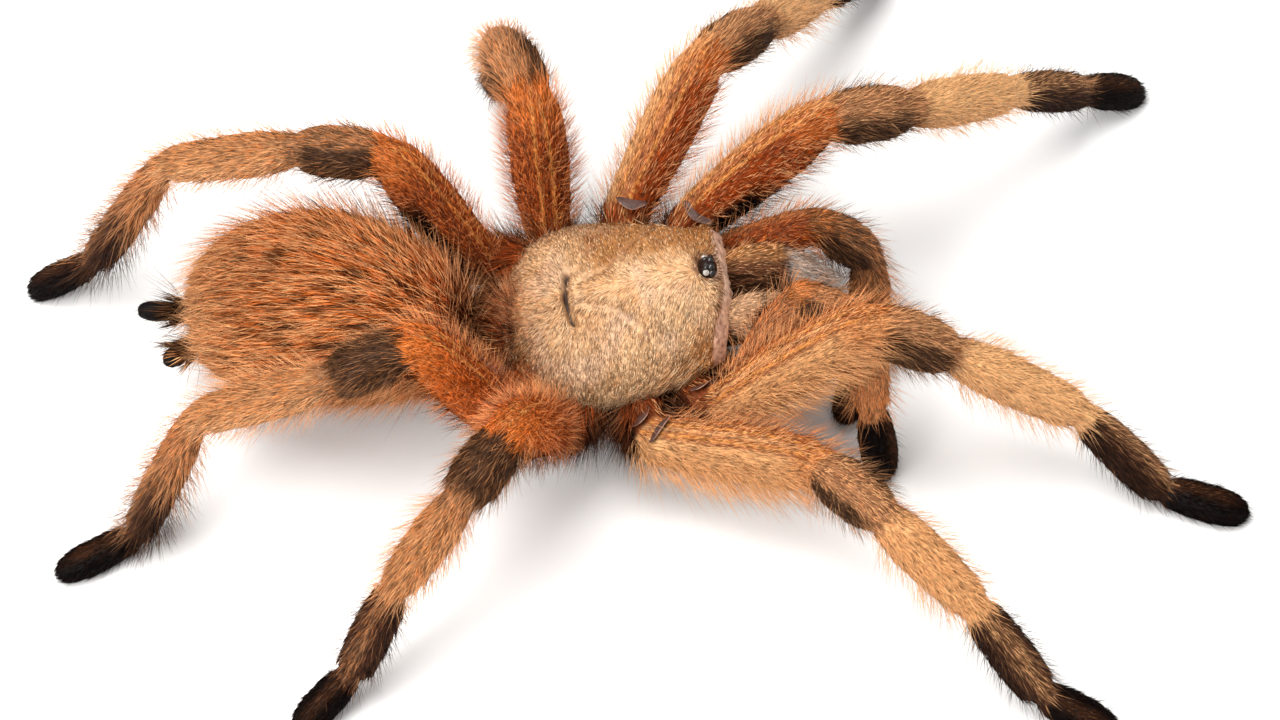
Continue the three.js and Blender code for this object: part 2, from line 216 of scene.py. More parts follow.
# Limb segments from the hip out: length, half width and half height with the coat, mm
LIMB_SIZES = {
    "1": {"femur": (15.0, 2.5, 3.0), "patella": (8.6, 2.45, 2.4), "tibia": (12.6, 2.2, 2.15),
          "metatarsus": (10.3, 1.9, 1.75), "tarsus": (7.6, 1.75, 1.35)},
    "2": {"femur": (14.0, 2.6, 2.8), "patella": (8.3, 2.35, 2.3), "tibia": (10.6, 2.15, 2.05),
          "metatarsus": (10.2, 1.9, 1.75), "tarsus": (7.4, 1.65, 1.25)},
    "3": {"femur": (13.4, 2.7, 2.75), "patella": (7.0, 2.35, 2.3), "tibia": (9.3, 2.0, 1.95),
          "metatarsus": (9.7, 1.8, 1.65), "tarsus": (6.8, 1.5, 1.15)},
    "4": {"femur": (15.6, 2.55, 2.65), "patella": (7.8, 2.3, 2.25), "tibia": (12.0, 2.0, 1.95),
          "metatarsus": (15.2, 1.7, 1.65), "tarsus": (7.5, 1.55, 1.2)},
    "P": {"femur": (10.0, 1.95, 2.05), "patella": (6.0, 2.0, 2.05), "tibia": (8.8, 1.9, 1.85),
          "tarsus": (7.2, 1.8, 1.45)},
}
# Coxae: inner end beside the sternum and outer end under the carapace margin, left side
COXAE = {"1": ((3.2, -4.0, -3.4), (8.6, -6.6, -1.6)), "2": ((3.9, -1.5, -3.4), (9.8, -1.4, -1.6)),
         "3": ((3.9, 1.1, -3.4), (8.6, 4.4, -1.6)), "4": ((3.1, 3.5, -3.4), (7.1, 8.6, -1.6)),
         "P": ((2.3, -5.8, -3.4), (5.6, -9.2, -1.6))}
# Yaw and rise in degrees of trochanter, femur, patella, tibia, metatarsus, and the tarsus's
# yaw. Yaw runs from straight out sideways (0) to forwards (90); the tarsus slopes to the floor.
STANCES = {
    "leg_L1": ((55, 20), (85, 49), (76, -16), (63, -29), (62, -39), (70,)),
    "leg_L2": ((28, 15), (43, 43), (47, -21), (39, -35), (43, -32), (44,)),
    "leg_L3": ((-12, 20), (-8, 75), (-17, -7), (-1, -61), (4, -72), (4,)),
    "leg_L4": ((-88, 12), (-71, 63), (-75, -6), (-82, -14), (-93, -62), (-85,)),
    "leg_R1": ((78, 15), (92, 42), (86, -35), (70, -24), (57, -40), (67,)),
    "leg_R2": ((34, -4), (66, 14), (34, 16), (41, -15), (49, -48), (58,)),
    "leg_R3": ((-60, 14), (-28, 56), (-44, -17), (-51, -34), (-56, -60), (-56,)),
    "leg_R4": ((-35, 12), (-91, 63), (-81, -23), (-89, -17), (-67, -64), (-68,)),
    "palp_L": ((60, 15), (107, 39), (101, -46), (180, -58), (208,)),
    "palp_R": ((55, 15), (112, 58), (58, -12), (10, -73), (16,)),
}
FLOOR_DIP = 0.25               # how deep each foot pad reaches down to the floor, mm
MELT_SIZE = 0.345              # the finest shape left in the skin, mm
COAT_DEPTH = {"coxa": 0.2, "trochanter": 0.3, "femur": 0.3, "patella": 0.25, "tibia": 0.2,
              "metatarsus": 0.12, "tarsus": 0.06, "abdomen": 1.0, "chelicera": 0.35}
# Share of a segment's full width at places along it: swollen middles and pinched joints
SWELL = {"coxa": ((0.1, 0.95), (0.6, 1.05)), "trochanter": ((0.5, 1.05),),
         "femur": ((0.06, 0.88), (0.2, 0.94), (0.45, 1.02), (0.75, 1.0), (0.92, 0.88)),
         "patella": ((0.12, 0.86), (0.35, 1.04), (0.7, 1.06), (0.92, 0.88)),
         "tibia": ((0.08, 0.84), (0.3, 1.04), (0.6, 1.0), (0.9, 0.88)),
         "metatarsus": ((0.08, 0.8), (0.3, 0.96), (0.65, 1.0), (0.92, 0.9)),
         "tarsus": ((0.1, 0.84), (0.3, 1.0), (0.62, 1.04), (0.82, 0.9), (0.93, 0.66), (0.985, 0.3))}
JOINT_WAIST = {"coxa": 0.95, "trochanter": 0.85, "femur": 0.74, "patella": 0.74, "tibia": 0.66,
               "metatarsus": 0.56}


class Core:
    """One straight stretch inside the skin: its ends, its axes, its half width and height."""

    def __init__(self, part, label, start, end, across, half_width, half_height):
        self.part, self.label, self.start, self.end = part, label, start, end
        self.along = (end - start).normalized()
        self.across = (across - across.dot(self.along) * self.along).normalized()
        self.up = self.along.cross(self.across)
        self.half_width, self.half_height = half_width, half_height

    def ring(self, place, along, width):
        """A unit circle's transform to a ring about this stretch, square to a direction."""
        across = (self.across - self.across.dot(along) * along).normalized()
        up = along.cross(across)
        columns = (across * self.half_width * width, up * self.half_height * width, along * MM)
        return Matrix.Translation(place) @ Matrix(columns).transposed().to_4x4()


def limb_cores(name):
    """The stretches of a leg or palp from its coxa to its tip, with the coat taken off."""
    side = 1 if "_L" in name else -1
    kind = "P" if name.startswith("palp") else name[-1]
    radii = (1.4, 1.3) if kind == "P" else (2.1, 2.1)      # coxa and trochanter, mm
    inner, outer = (body(side * x, y, z) for x, y, z in COXAE[kind])
    level = Vector((0, 0, 1))

    def core(label, start, end, across, half_width, half_height):
        depth = COAT_DEPTH[label]
        chain.append(Core(name, label, start, end, across,
                          (half_width - depth) * MM, (half_height - depth) * MM))

    chain = []
    core("coxa", inner, outer, level.cross(outer - inner), radii[0], radii[0])
    start = outer
    stretches = {"trochanter": (1.4 if kind == "P" else 2.4, radii[1], radii[1]), **LIMB_SIZES[kind]}
    for (label, (length, half_width, half_height)), turn in zip(stretches.items(), STANCES[name]):
        yaw = math.radians(turn[0])
        if len(turn) == 2:
            rise = math.radians(turn[1])
        else:
            drop = start.z / MM + FLOOR_DIP - half_height * 0.9
            rise = -math.asin(drop / (length * 0.84))
        along = Vector((side * math.cos(rise) * math.cos(yaw), -math.cos(rise) * math.sin(yaw),
                        math.sin(rise)))
        end = start + along * length * MM
        # from the patella outwards the side axis is carried on, so the limb doesn't twist
        across = level.cross(along) if label in ("trochanter", "femur") else chain[-1].across
        core(label, start, end, across, half_width, half_height)
        start = end
    return chain


def loft(bm, rings, sides=20):
    """A closed tube through ring transforms, drawn out from a circle edge by edge."""
    verts = bmesh.ops.create_circle(bm, cap_ends=False, segments=sides, radius=1.0)["verts"]
    bmesh.ops.transform(bm, matrix=rings[0], verts=verts)
    edges = list({edge for vert in verts for edge in vert.link_edges})
    before = rings[0]
    first = edges
    for ring in rings[1:]:
        grown = bmesh.ops.extrude_edge_only(bm, edges=edges)["geom"]
        verts = [item for item in grown if isinstance(item, bmesh.types.BMVert)]
        edges = [item for item in grown if isinstance(item, bmesh.types.BMEdge)]
        bmesh.ops.transform(bm, matrix=ring @ before.inverted(), verts=verts)
        before = ring
    bmesh.ops.holes_fill(bm, edges=first + edges, sides=sides)
    bmesh.ops.recalc_face_normals(bm, faces=bm.faces)


def limb_rings(chain):
    """Rings down a limb, pinched and mitred where two segments meet."""
    rings = [chain[0].ring(chain[0].start, chain[0].along, 0.8)]
    for core, after in zip(chain, chain[1:] + [None]):
        for share, width in SWELL[core.label]:
            rings.append(core.ring(core.start.lerp(core.end, share), core.along, width))
        if after:
            mitre = (core.along + after.along).normalized()
            waist = after.ring(core.end, mitre, JOINT_WAIST[core.label])
            rings.append(waist)
    return rings


def bent_rings(points, depth):
    """Rings through a few body places, each with a half width and half height."""
    places = [body(*point[:3]) for point in points]
    rings = []
    for i, (*_, half_width, half_height) in enumerate(points):
        along = (places[min(i + 1, len(places) - 1)] - places[max(i - 1, 0)]).normalized()
        across = (Vector((1, 0, 0)) - along.x * along).normalized()
        columns = (across * (half_width - depth) * MM,
                   along.cross(across) * (half_height - depth) * MM, along * MM)
        rings.append(Matrix.Translation(places[i]) @ Matrix(columns).transposed().to_4x4())
    return rings


def ball(bm, centre, radii, columns=40, rows=24):
    """A ball scaled to three radii about a centre."""
    made = bmesh.ops.create_uvsphere(bm, u_segments=columns, v_segments=rows, radius=1.0)
    bmesh.ops.transform(bm, matrix=Matrix.LocRotScale(centre, None, Vector(radii)), verts=made["verts"])
    return made["verts"]


# Abdomen: an egg whose midline rises and swings to the left, all in mm
ABDOMEN = {"from": 11.0, "to": 36.8, "half_width": 8.9, "half_height": 8.0}


def abdomen_middle(share):
    """The middle of the abdomen at a share of its length from the waist back."""
    y = ABDOMEN["from"] + share * (ABDOMEN["to"] - ABDOMEN["from"])
    return (3.8 * share ** 1.3, y, 2.6 * math.sin(math.pi * share ** 0.9))


def lay_abdomen(bm):
    """Reshapes a ball with its poles fore and aft into the abdomen."""
    depth = COAT_DEPTH["abdomen"]
    verts = bmesh.ops.create_uvsphere(bm, u_segments=56, v_segments=40, radius=1.0)["verts"]
    for vert in verts:
        aft, side, rise = vert.co.z, vert.co.x, vert.co.y
        share = (1 + aft) / 2
        ring = max(math.hypot(side, rise), 1e-6)
        girth = ring ** 0.85 * (1 + 0.08 * (2 * share - 1))
        x, y, z = abdomen_middle(0.035 + 0.915 * share)
        vert.co = body(x + side / ring * girth * (ABDOMEN["half_width"] - depth), y,
                       z + rise / ring * girth * (ABDOMEN["half_height"] - depth))


# Jaws, one side: x, y, z, half width and half height, mm
CHELICERA = ((1.95, -7.6, -2.0, 1.3, 1.8), (2.2, -9.7, 0.5, 1.9, 2.9), (2.4, -11.6, 1.4, 2.15, 3.2),
             (2.4, -14.0, 0.9, 2.1, 3.1), (2.2, -16.3, -0.4, 1.85, 2.5), (2.05, -17.3, -1.3, 1.45, 1.9),
             (2.0, -17.8, -1.9, 1.0, 1.2))
# Spinnerets: root, tip and radius, mm
SPINNERETS = {"spinneret_long_L": ((5.0, 34.0, -1.9), (5.3, 40.2, -0.9), 0.85),
              "spinneret_long_R": ((3.0, 34.0, -1.8), (0.7, 38.3, -2.4), 0.85),
              "spinneret_short_L": ((4.6, 32.8, -3.3), (4.7, 35.2, -4.5), 0.5),
              "spinneret_short_R": ((3.1, 32.8, -3.3), (2.9, 35.2, -4.5), 0.5)}
SPINNERET_SWELL = ((0.0, 1.0), (0.16, 1.1), (0.3, 0.95), (0.42, 1.1), (0.58, 0.95), (0.7, 1.1),
                   (0.86, 1.05), (0.95, 0.8), (1.0, 0.4))

chains = {name: limb_cores(name) for name in STANCES}
cores = [core for chain in chains.values() for core in chain]
sideways = Vector((1, 0, 0))
bm = bmesh.new()
for chain in chains.values():
    loft(bm, limb_rings(chain))
lay_abdomen(bm)
for i, girth in enumerate((5.6, 7.2, 7.3, 6.2)):
    start, end = (Vector(abdomen_middle(share)) for share in (0.16 * i + 0.16, 0.16 * i + 0.32))
    cores.append(Core("abdomen", "abdomen", body(*start), body(*end), -sideways, girth * MM, girth * MM))
for side, mark in ((1, "L"), (-1, "R")):
    points = [(side * x, *rest) for x, *rest in CHELICERA]
    loft(bm, bent_rings(points, COAT_DEPTH["chelicera"]))
    for a, b in ((1, 3), (3, 5)):
        cores.append(Core(f"chelicera_{mark}", "chelicera", body(*points[a][:3]), body(*points[b][:3]),
                          sideways, points[a][3] * MM, points[a][4] * MM))
for name, (root, tip, radius) in SPINNERETS.items():
    core = Core(name, "spinneret", body(*root), body(*tip), sideways, radius * MM, radius * MM)
    cores.append(core)
    loft(bm, [core.ring(core.start.lerp(core.end, share), core.along, width)
              for share, width in SPINNERET_SWELL], sides=14)
ball(bm, body(0, -0.4, -3.0), (3.1 * MM, 4.5 * MM, 2.0 * MM))                    # sternum
ball(bm, body(0, -5.4, -4.2), (1.1 * MM, 0.9 * MM, 0.7 * MM))                    # lip
ball(bm, body(0, -0.3, -0.9), (7.2 * MM, 8.2 * MM, 1.5 * MM))                    # under the shell
waist = Core("pedicel", "pedicel", body(0, 7.5, -0.4), body(0, 12.6, 0.2), -sideways, 1.2 * MM, 1.2 * MM)
cores.append(waist)
cores.append(Core("sternum", "sternum", body(0, -3.0, -3.0), body(0, 2.4, -3.0), -sideways,
                  2.4 * MM, 2.4 * MM))
loft(bm, [waist.ring(waist.start.lerp(waist.end, share), waist.along, 1.0) for share in (0, 0.5, 1)])
ball(bm, body(0.2, 10.2, -0.2), (3.1 * MM, 2.0 * MM, 1.3 * MM))                  # fold of the waist

mesh = bpy.data.meshes.new("skin_blocks")
bm.to_mesh(mesh)
bm.free()
skin = show("skin", mesh)
melt = skin.modifiers.new("melt", "REMESH")
melt.mode, melt.voxel_size = "VOXEL", MELT_SIZE * MM
soften = skin.modifiers.new("soften", "SMOOTH")
soften.factor, soften.iterations = 0.5, 4
bpy.context.view_layer.update()
melted = bpy.data.meshes.new_from_object(skin.evaluated_get(bpy.context.evaluated_depsgraph_get()))
skin.modifiers.clear()
skin.data = melted
melted.name = "skin"
melted.shade_smooth()


def numbers(collection, key, width, kind=np.float32):
    """One property of all of a mesh's items, as an array."""
    values = np.empty(len(collection) * width, kind)
    collection.foreach_get(key, values)
    return values.reshape(-1, width) if width > 1 else values


starts, ends, alongs, acrosses, ups = (
    np.array([getattr(core, key) for core in cores])
    for key in ("start", "end", "along", "across", "up"))
lengths = np.linalg.norm(ends - starts, axis=1)
radii = np.array([(core.half_width + core.half_height) / 2 for core in cores])
parts = np.array([core.part for core in cores])
labels = np.array([core.label for core in cores])
rearward = np.array([-1.0 if "_R" in core.part else 1.0 for core in cores])
BLEND_REACH = 0.7 * MM         # how far round a joint the lie of the hair turns


class Spots:
    """Where points on the skin are: part, segment, share along it and turn about it."""

    def __init__(self, points):
        self.points = points
        nearest, share, lie = [], [], []
        for block in np.array_split(points, max(1, len(points) // 8000)):
            away = block[:, None] - starts[None]
            along = np.clip((away * alongs).sum(2), 0, lengths)
            gap = np.linalg.norm(away - along[..., None] * alongs, axis=2) - radii
            best = gap.argmin(1)
            nearest.append(best)
            rows = np.arange(len(block))
            share.append(along[rows, best] / lengths[best])
            weight = np.exp((gap[rows, best][:, None] - gap) / BLEND_REACH)
            weight *= parts[None] == parts[best][:, None]
            lie.append(weight @ alongs)
        self.core, self.share, self.lie = map(np.concatenate, (nearest, share, lie))
        away = points - starts[self.core]
        self.sideways = (away * acrosses[self.core]).sum(1)
        self.upward = (away * ups[self.core]).sum(1)
        # zero along the back of a limb, positive towards the animal's rear
        self.turn = np.arctan2(self.sideways * rearward[self.core], self.upward)
        self.label, self.part = labels[self.core], parts[self.core]

    def pick(self, mask):
        """The same facts for some of the points."""
        some = object.__new__(Spots)
        some.__dict__ = {key: value[mask] for key, value in self.__dict__.items()}
        return some


def tone(red, green, blue):
    """A colour given as it looks on a screen, 0 to 255, as the light that a shader takes."""
    return ((np.array([red, green, blue]) / 255 + 0.055) / 1.055) ** 2.4


def ramp(low, high, values):
    """A smooth rise from 0 at low to 1 at high."""
    x = np.clip((values - low) / (high - low), 0, 1)
    return x * x * (3 - 2 * x)


def mix(colour, other, share):
    """A colour, or rows of them, moved towards another by one share or a share for each row."""
    share = np.asarray(share, float)[..., None]
    return colour * (1 - share) + other * share


def wander(points, size, offset=0.0, squeeze=(1, 1, 1)):
    """Smooth noise from -1 to 1 over points, with lumps of a size in millimetres."""
    scaled = points * np.array(squeeze) / (size * MM) + offset
    return np.array([noise.noise(Vector(point)) for point in scaled])


RUST, ORANGE, PEACH = tone(168, 74, 26), tone(222, 128, 58), tone(255, 198, 138)
SAND, TAN, UMBER = tone(240, 190, 142), tone(202, 146, 102), tone(118, 72, 46)
DUSK, SOOT, BLACK = tone(80, 50, 35), tone(42, 24, 16), tone(16, 9, 6)
MAUVE, STRAW = tone(104, 76, 70), tone(222, 152, 82)


STRIPE_TURN = 0.24             # where the two pale lines run along the back of a femur, radians


def femur_tint(spot, fine, broad):
    front = (spot.number <= 2)
    near = np.char.endswith(spot.part, "R1") | np.char.endswith(spot.part, "R2")
    pale = ramp(np.where(near, -1.1, -0.35), np.where(near, 0.3, 0.5), spot.turn)
    pale = pale * ramp(3.1, 2.6, spot.turn) * np.where(spot.number == 0, 0.3, 0.9)
    outer = np.char.endswith(spot.part, "R3") | np.char.endswith(spot.part, "R4")
    pale = np.where(front, pale, np.where(outer, 0.0, 0.04))
    golden = outer * ramp(0.5, -0.9, spot.turn) * ramp(0.1, 0.7, spot.share + 0.2 * broad)
    colour = mix(RUST, ORANGE, near * 0.6)
    colour = mix(colour, tone(226, 122, 48), golden * 0.8)
    colour = mix(colour * np.where(front | outer, 1, 0.84)[:, None], PEACH, pale)
    colour = mix(colour, mix(UMBER, TAN, 0.55), 0.8 * (spot.part == "palp_R"))
    colour = mix(colour, UMBER, ramp(0.05, 0.45, fine) * 0.6 * ramp(1.8, 0.8, abs(spot.turn)))
    colour = mix(colour, ORANGE, ramp(0.8, 0.98, spot.share) * 0.5 * (spot.number > 0))
    line = abs(abs(spot.turn) - STRIPE_TURN) * np.char.startswith(spot.part, "leg")
    colour = mix(colour, RUST * 0.75, ramp(0.24, 0.12, line) * np.where(near, 0.75, 0.6) * (line > 0))
    colour = mix(colour, np.minimum(STRAW * 1.3, 1), ramp(0.075, 0.04, line) * 0.9 * (line > 0))
    under = np.where(near, ramp(2.7, 3.0, abs(spot.turn)), ramp(1.9, 2.5, abs(spot.turn))) * 0.8
    velvet = np.select([(spot.number == 1) | (spot.number == 0), spot.number == 4],
                       [ramp(-1.0, -1.35, spot.turn), ramp(1.0, 1.35, spot.turn)], 0.0)
    reach = np.where(spot.number == 1, 0.35, 0.6)
    return mix(colour, BLACK, np.maximum(under, velvet * ramp(reach + 0.25, reach, spot.share)))


def patella_tint(spot, fine, broad):
    colour = mix(TAN, UMBER, 0.35 + 0.35 * fine)
    colour = mix(colour, ORANGE, 0.5 * ramp(0.15, 0.0, spot.share) + 0.3 * ramp(0.25, 0.6, -fine))
    leaning = 0.5 * (spot.part == "leg_L3") - 0.3 * (spot.part == "leg_L4")
    colour = mix(colour, SOOT, (spot.part == "leg_L4") * (0.3 + 0.3 * fine))
    dark = ramp(0.5, 1.0, abs(spot.turn - leaning) + 0.25 * broad)
    backed = np.char.startswith(spot.part, "leg_R") & (spot.number >= 3)
    dark = np.where(backed, ramp(2.2, 1.6, abs(spot.turn + 0.4) + 0.25 * broad), dark)
    dark = dark * ramp(-0.1, 0.1, spot.share) * ramp(1.02, 0.85, spot.share + 0.1 * fine)
    return mix(colour, SOOT, dark * 0.85)


def lit_thin(spot):
    """The front tibiae whose coat is palest and least mixed with dark hair."""
    return np.isin(spot.part, ("leg_L1", "leg_L2", "leg_R1")) & (spot.label == "tibia")


def tibia_tint(spot, fine, broad):
    far = lit_thin(spot)
    bright = far * np.where(spot.part == "leg_R1", 0.5, 0.85)
    colour = mix(PEACH, ORANGE, np.where(far, 0.0, 0.2) + 0.3 * fine)
    colour = mix(colour, tone(255, 203, 145), bright)
    colour = mix(colour, mix(TAN, ORANGE, 0.3) * 0.62, np.where(spot.number >= 3, 0.75, 0.0))
    colour = mix(colour, RUST, np.where(spot.number == 0, 0.5, 0.0))
    colour = mix(colour, SAND, ramp(0.7, 1.6, abs(spot.turn)) * 0.5 * (spot.number > 0))
    return mix(colour, UMBER, ramp(2.2, 2.8, abs(spot.turn)) * 0.6)


def metatarsus_tint(spot, fine, broad):
    colour = mix(DUSK, SOOT, ramp(0.5, 1.3, abs(spot.turn)) * 0.8)
    gold = ramp(0.7, 0.1, abs(spot.turn)) * (0.45 + 0.4 * fine)
    colour = mix(colour, TAN, np.clip(gold, 0, 1) * np.where(spot.number == 3, 0.4, 0.8))
    pale = np.where(spot.number == 4, ramp(0.6, 0.25, spot.share + 0.15 * broad), 0.0)
    return mix(colour, mix(TAN * 0.72, ORANGE, 0.2), pale * 0.85)


def tarsus_tint(spot, fine, broad):
    colour = mix(BLACK * 0.5, SOOT, 0.15 + 0.3 * fine)
    back = ramp(0.8, 0.2, abs(spot.turn) + 0.3 * fine) * 0.22
    return mix(colour, UMBER, back * ramp(0.95, 0.6, spot.share))


def coxa_tint(spot, fine, broad):
    colour = mix(UMBER, RUST, 0.5 + 0.5 * fine)
    return mix(colour, BLACK, ramp(0.5, 1.2, abs(spot.turn)) * 0.9)


def trochanter_tint(spot, fine, broad):
    colour = mix(RUST, UMBER, 0.5 + 0.5 * fine)
    return mix(colour, BLACK, ramp(0.8, 1.3, abs(spot.turn)) * 0.9)


def abdomen_tint(spot, fine, broad):
    place = in_body(spot.points)
    streak = wander(spot.points, 0.42, 3.1, (1.0, 0.13, 1.0))
    colour = mix(ORANGE, RUST, 0.55 + 0.5 * fine)
    colour = mix(colour, SOOT, ramp(0.1, 0.32, streak) * 0.9)
    colour = mix(colour, PEACH, ramp(-0.15, -0.5, streak) * 0.5 + ramp(30, 36, place[:, 1]) * 0.3)
    colour = mix(colour, SAND, ramp(-4.5, -8.0, place[:, 0]) * 0.4)
    vent = ramp(4.2, 2.4, np.linalg.norm(place - np.array([4.0, 35.6, -1.6]), axis=1))
    colour = mix(colour, BLACK * 0.7, vent * 0.92)
    patch = ramp(14.6, 13.0, place[:, 1] + 1.2 * broad) * ramp(4.0, 2.0, abs(place[:, 0] - 0.6))
    colour = mix(colour * 0.86, RUST * 0.8, ramp(17.5, 13.5, place[:, 1] + broad) * 0.7)
    return mix(colour, BLACK, patch * 0.7)


def sternum_tint(spot, fine, broad):
    return mix(SOOT, UMBER, 0.35 + 0.35 * fine)


def pedicel_tint(spot, fine, broad):
    return mix(SOOT, RUST * 0.8, ramp(-0.3, 0.3, fine) * 0.6)


def spinneret_tint(spot, fine, broad):
    return mix(BLACK * 0.5, BLACK, 0.5 + 0.5 * fine)


def chelicera_tint(spot, fine, broad):
    place = in_body(spot.points)
    left = spot.part == "chelicera_L"
    streak = wander(spot.points, 0.5, 6.2, (1.0, 0.4, 1.0))
    colour = mix(FAWN * 1.1, SAND, 0.2 + 0.3 * fine)
    outer = ramp(1.2, 2.6, place[:, 0] + 0.4 * broad)
    colour = mix(colour, mix(UMBER, tone(184, 126, 74), outer * 0.9), left * 0.95)
    colour = mix(colour, SOOT, ramp(0.0, 0.5, streak) * np.where(left, 0.8 - 0.5 * outer, 0.4))
    colour = mix(colour, ASH, ramp(-14.4, -15.6, place[:, 1]) * np.where(left, 0.95, 0.3))
    return mix(colour, SOOT, ramp(0.9, 1.5, abs(spot.turn) + 0.3 * broad) * 0.8)


FAWN, ASH = tone(182, 144, 114), tone(236, 228, 222)
TINTS = {"femur": femur_tint, "patella": patella_tint, "tibia": tibia_tint,
         "metatarsus": metatarsus_tint, "tarsus": tarsus_tint, "coxa": coxa_tint,
         "trochanter": trochanter_tint, "abdomen": abdomen_tint, "sternum": sternum_tint,
         "pedicel": pedicel_tint, "spinneret": spinneret_tint, "chelicera": chelicera_tint}


def markings(spots):
    """The colour of skin and coat at each spot."""
    fine, broad = wander(spots.points, 0.45), wander(spots.points, 1.8, 7.7)
    spots.number = np.array([int(part[-1]) if part[-1].isdigit() else 0 for part in spots.part])
    colour = np.zeros((len(spots.points), 3))
    for label, tint in TINTS.items():
        mask = spots.label == label
        if mask.any():
            colour[mask] = tint(spots.pick(mask), fine[mask], broad[mask])
    shadowed = (spots.part == "palp_L") * np.where(spots.label == "femur", 0.3, 0.55)
    return np.clip(mix(colour, DUSK * 0.6, shadowed), 0.002, 1)


skin_points = numbers(melted.vertices, "co", 3).astype(float)
skin_spots = Spots(skin_points)
# The skin under the coat is darker than the hair: partly its own dark hide, partly painted shade between the
# hairs.
skin_colour = markings(skin_spots) * 0.62


def give_colour(mesh, name, colour):
    """Stores a colour for each vertex."""
    attribute = mesh.attributes.new(name, "FLOAT_COLOR", "POINT")
    rows = np.ones((len(colour), 4), np.float32)
    rows[:, :3] = colour
    attribute.data.foreach_set("color", rows.ravel())


give_colour(melted, "tint", skin_colour)
grain = np.stack([skin_spots.sideways, skin_spots.upward,
                  skin_spots.share * lengths[skin_spots.core] * 0.16 + skin_spots.core], 1)
attribute = melted.attributes.new("grain", "FLOAT_VECTOR", "POINT")
attribute.data.foreach_set("vector", grain.astype(np.float32).ravel())

hide, paint = new_material("hide", Roughness=0.62, Specular_IOR_Level=0.12)
down = paint.make("ShaderNodeTexNoise", inputs={"Vector": paint.stored("grain", "Vector"),
                                                "Scale": 7000.0, "Detail": 3.0})
pores = paint.cloud(2600.0)
shade = down.shades((0.3, (0.3, 0.27, 0.25)), (0.5, (0.9, 0.88, 0.86)), (0.7, (1.5, 1.46, 1.38)))
feed(hide, Base_Color=paint.stored("tint").tinted(shade), Roughness=0.5 + pores * 0.25,
     Normal=(down * 0.7 + pores * 0.3).relief(0.7, 0.0001))
melted.materials.clear()
melted.materials.append(hide)
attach(skin, "root")
fleshy = [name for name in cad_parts
          if name.startswith(("leg_", "palp_", "chelicera_", "spinneret_")) or name in
          ("abdomen", "pedicel", "sternum")]
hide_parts(*fleshy)

# ======================================================================================
# The carapace. A hard brown shield, domed over the head, with a pit behind its middle and
# grooves that run out from it, and a bare pink rim in front. It is bent from one sheet.
SHELL = ((-9.9, 5.5, 2.7), (-9.2, 6.0, 4.4), (-7.2, 6.7, 5.7), (-3.8, 7.8, 5.7), (-0.4, 8.7, 4.9),
         (2.8, 8.8, 4.2), (5.8, 7.8, 3.5), (8.0, 5.6, 2.5), (9.1, 3.2, 1.6))
SHELL_COAT = 0.25              # the short coat over the shell, mm
SKIRT, LIP = 0.5, 0.12         # depth of the margin and of its rounded edge, mm
# Lines of the grooves on one side, as places across and along in mm, with a depth and width
GROOVES = (((0.9, 3.0), (1.9, 0.2), (4.6, -2.4), (6.3, -4.1), (7.0, -6.0), 0.12, 0.36),
           ((1.6, 3.4), (3.4, 2.4), (5.3, 1.0), (7.5, 0.2), 0.09, 0.36),
           ((1.9, 4.0), (4.6, 4.2), (6.9, 4.6), 0.08, 0.36),
           ((1.2, 4.6), (2.8, 6.2), (4.4, 7.6), 0.08, 0.34))
FOVEA = (2.9, 4.1, 0.8)      # half length, place along and depth of the pit, mm


def between(stations, y, column):
    """A value of the shell's stations at y, on a smooth curve through them."""
    ys = np.array([station[0] for station in stations])
    values = np.array([station[column] for station in stations])
    slopes = np.gradient(values, ys)
    i = np.clip(np.searchsorted(ys, y) - 1, 0, len(ys) - 2)
    step = ys[i + 1] - ys[i]
    t = np.clip((y - ys[i]) / step, 0, 1)
    return ((2 * t ** 3 - 3 * t ** 2 + 1) * values[i] + (t ** 3 - 2 * t ** 2 + t) * step * slopes[i]
            + (3 * t ** 2 - 2 * t ** 3) * values[i + 1] + (t ** 3 - t ** 2) * step * slopes[i + 1])


def line_gap(x, y, points):
    """The distance of places from a line through points, all in mm."""
    gap = np.full(len(x), 1e3)
    for (ax, ay), (bx, by) in zip(points, points[1:]):
        dx, dy = bx - ax, by - ay
        t = np.clip(((x - ax) * dx + (y - ay) * dy) / (dx * dx + dy * dy), 0, 1)
        gap = np.minimum(gap, np.hypot(x - ax - t * dx, y - ay - t * dy))
    return gap


def hollows(x, y):
    """Depth of the grooves and the pit at places on the shell, mm, and how much painted shade darkens them.
    """
    depth, dark = np.zeros(len(x)), np.zeros(len(x))
    for *points, deep, wide in GROOVES:
        dip = np.exp(-(line_gap(abs(x), y, points) / wide) ** 2)
        depth += deep * dip
        dark = np.maximum(dark, dip * deep / 0.16 * ramp(1.0, 3.2, np.hypot(x, y - FOVEA[1])))
    half, along, deep = FOVEA
    bow = along - 0.55 * (x / half) ** 2
    pit = np.exp(-((y - bow) / 0.34) ** 2) * ramp(half * 1.1, half * 0.75, abs(x + 0.2))
    worn = 0.97 + 0.12 * np.sin(2.3 * x + 2.2)
    return depth + deep * pit * worn, np.maximum(dark, 1.3 * pit * worn)


def front_slant(x):
    """How far the front rim stands back at places across it, mm: the right corner recedes."""
    return 1.1 * ramp(-1.5, -6.5, x) ** 0.7


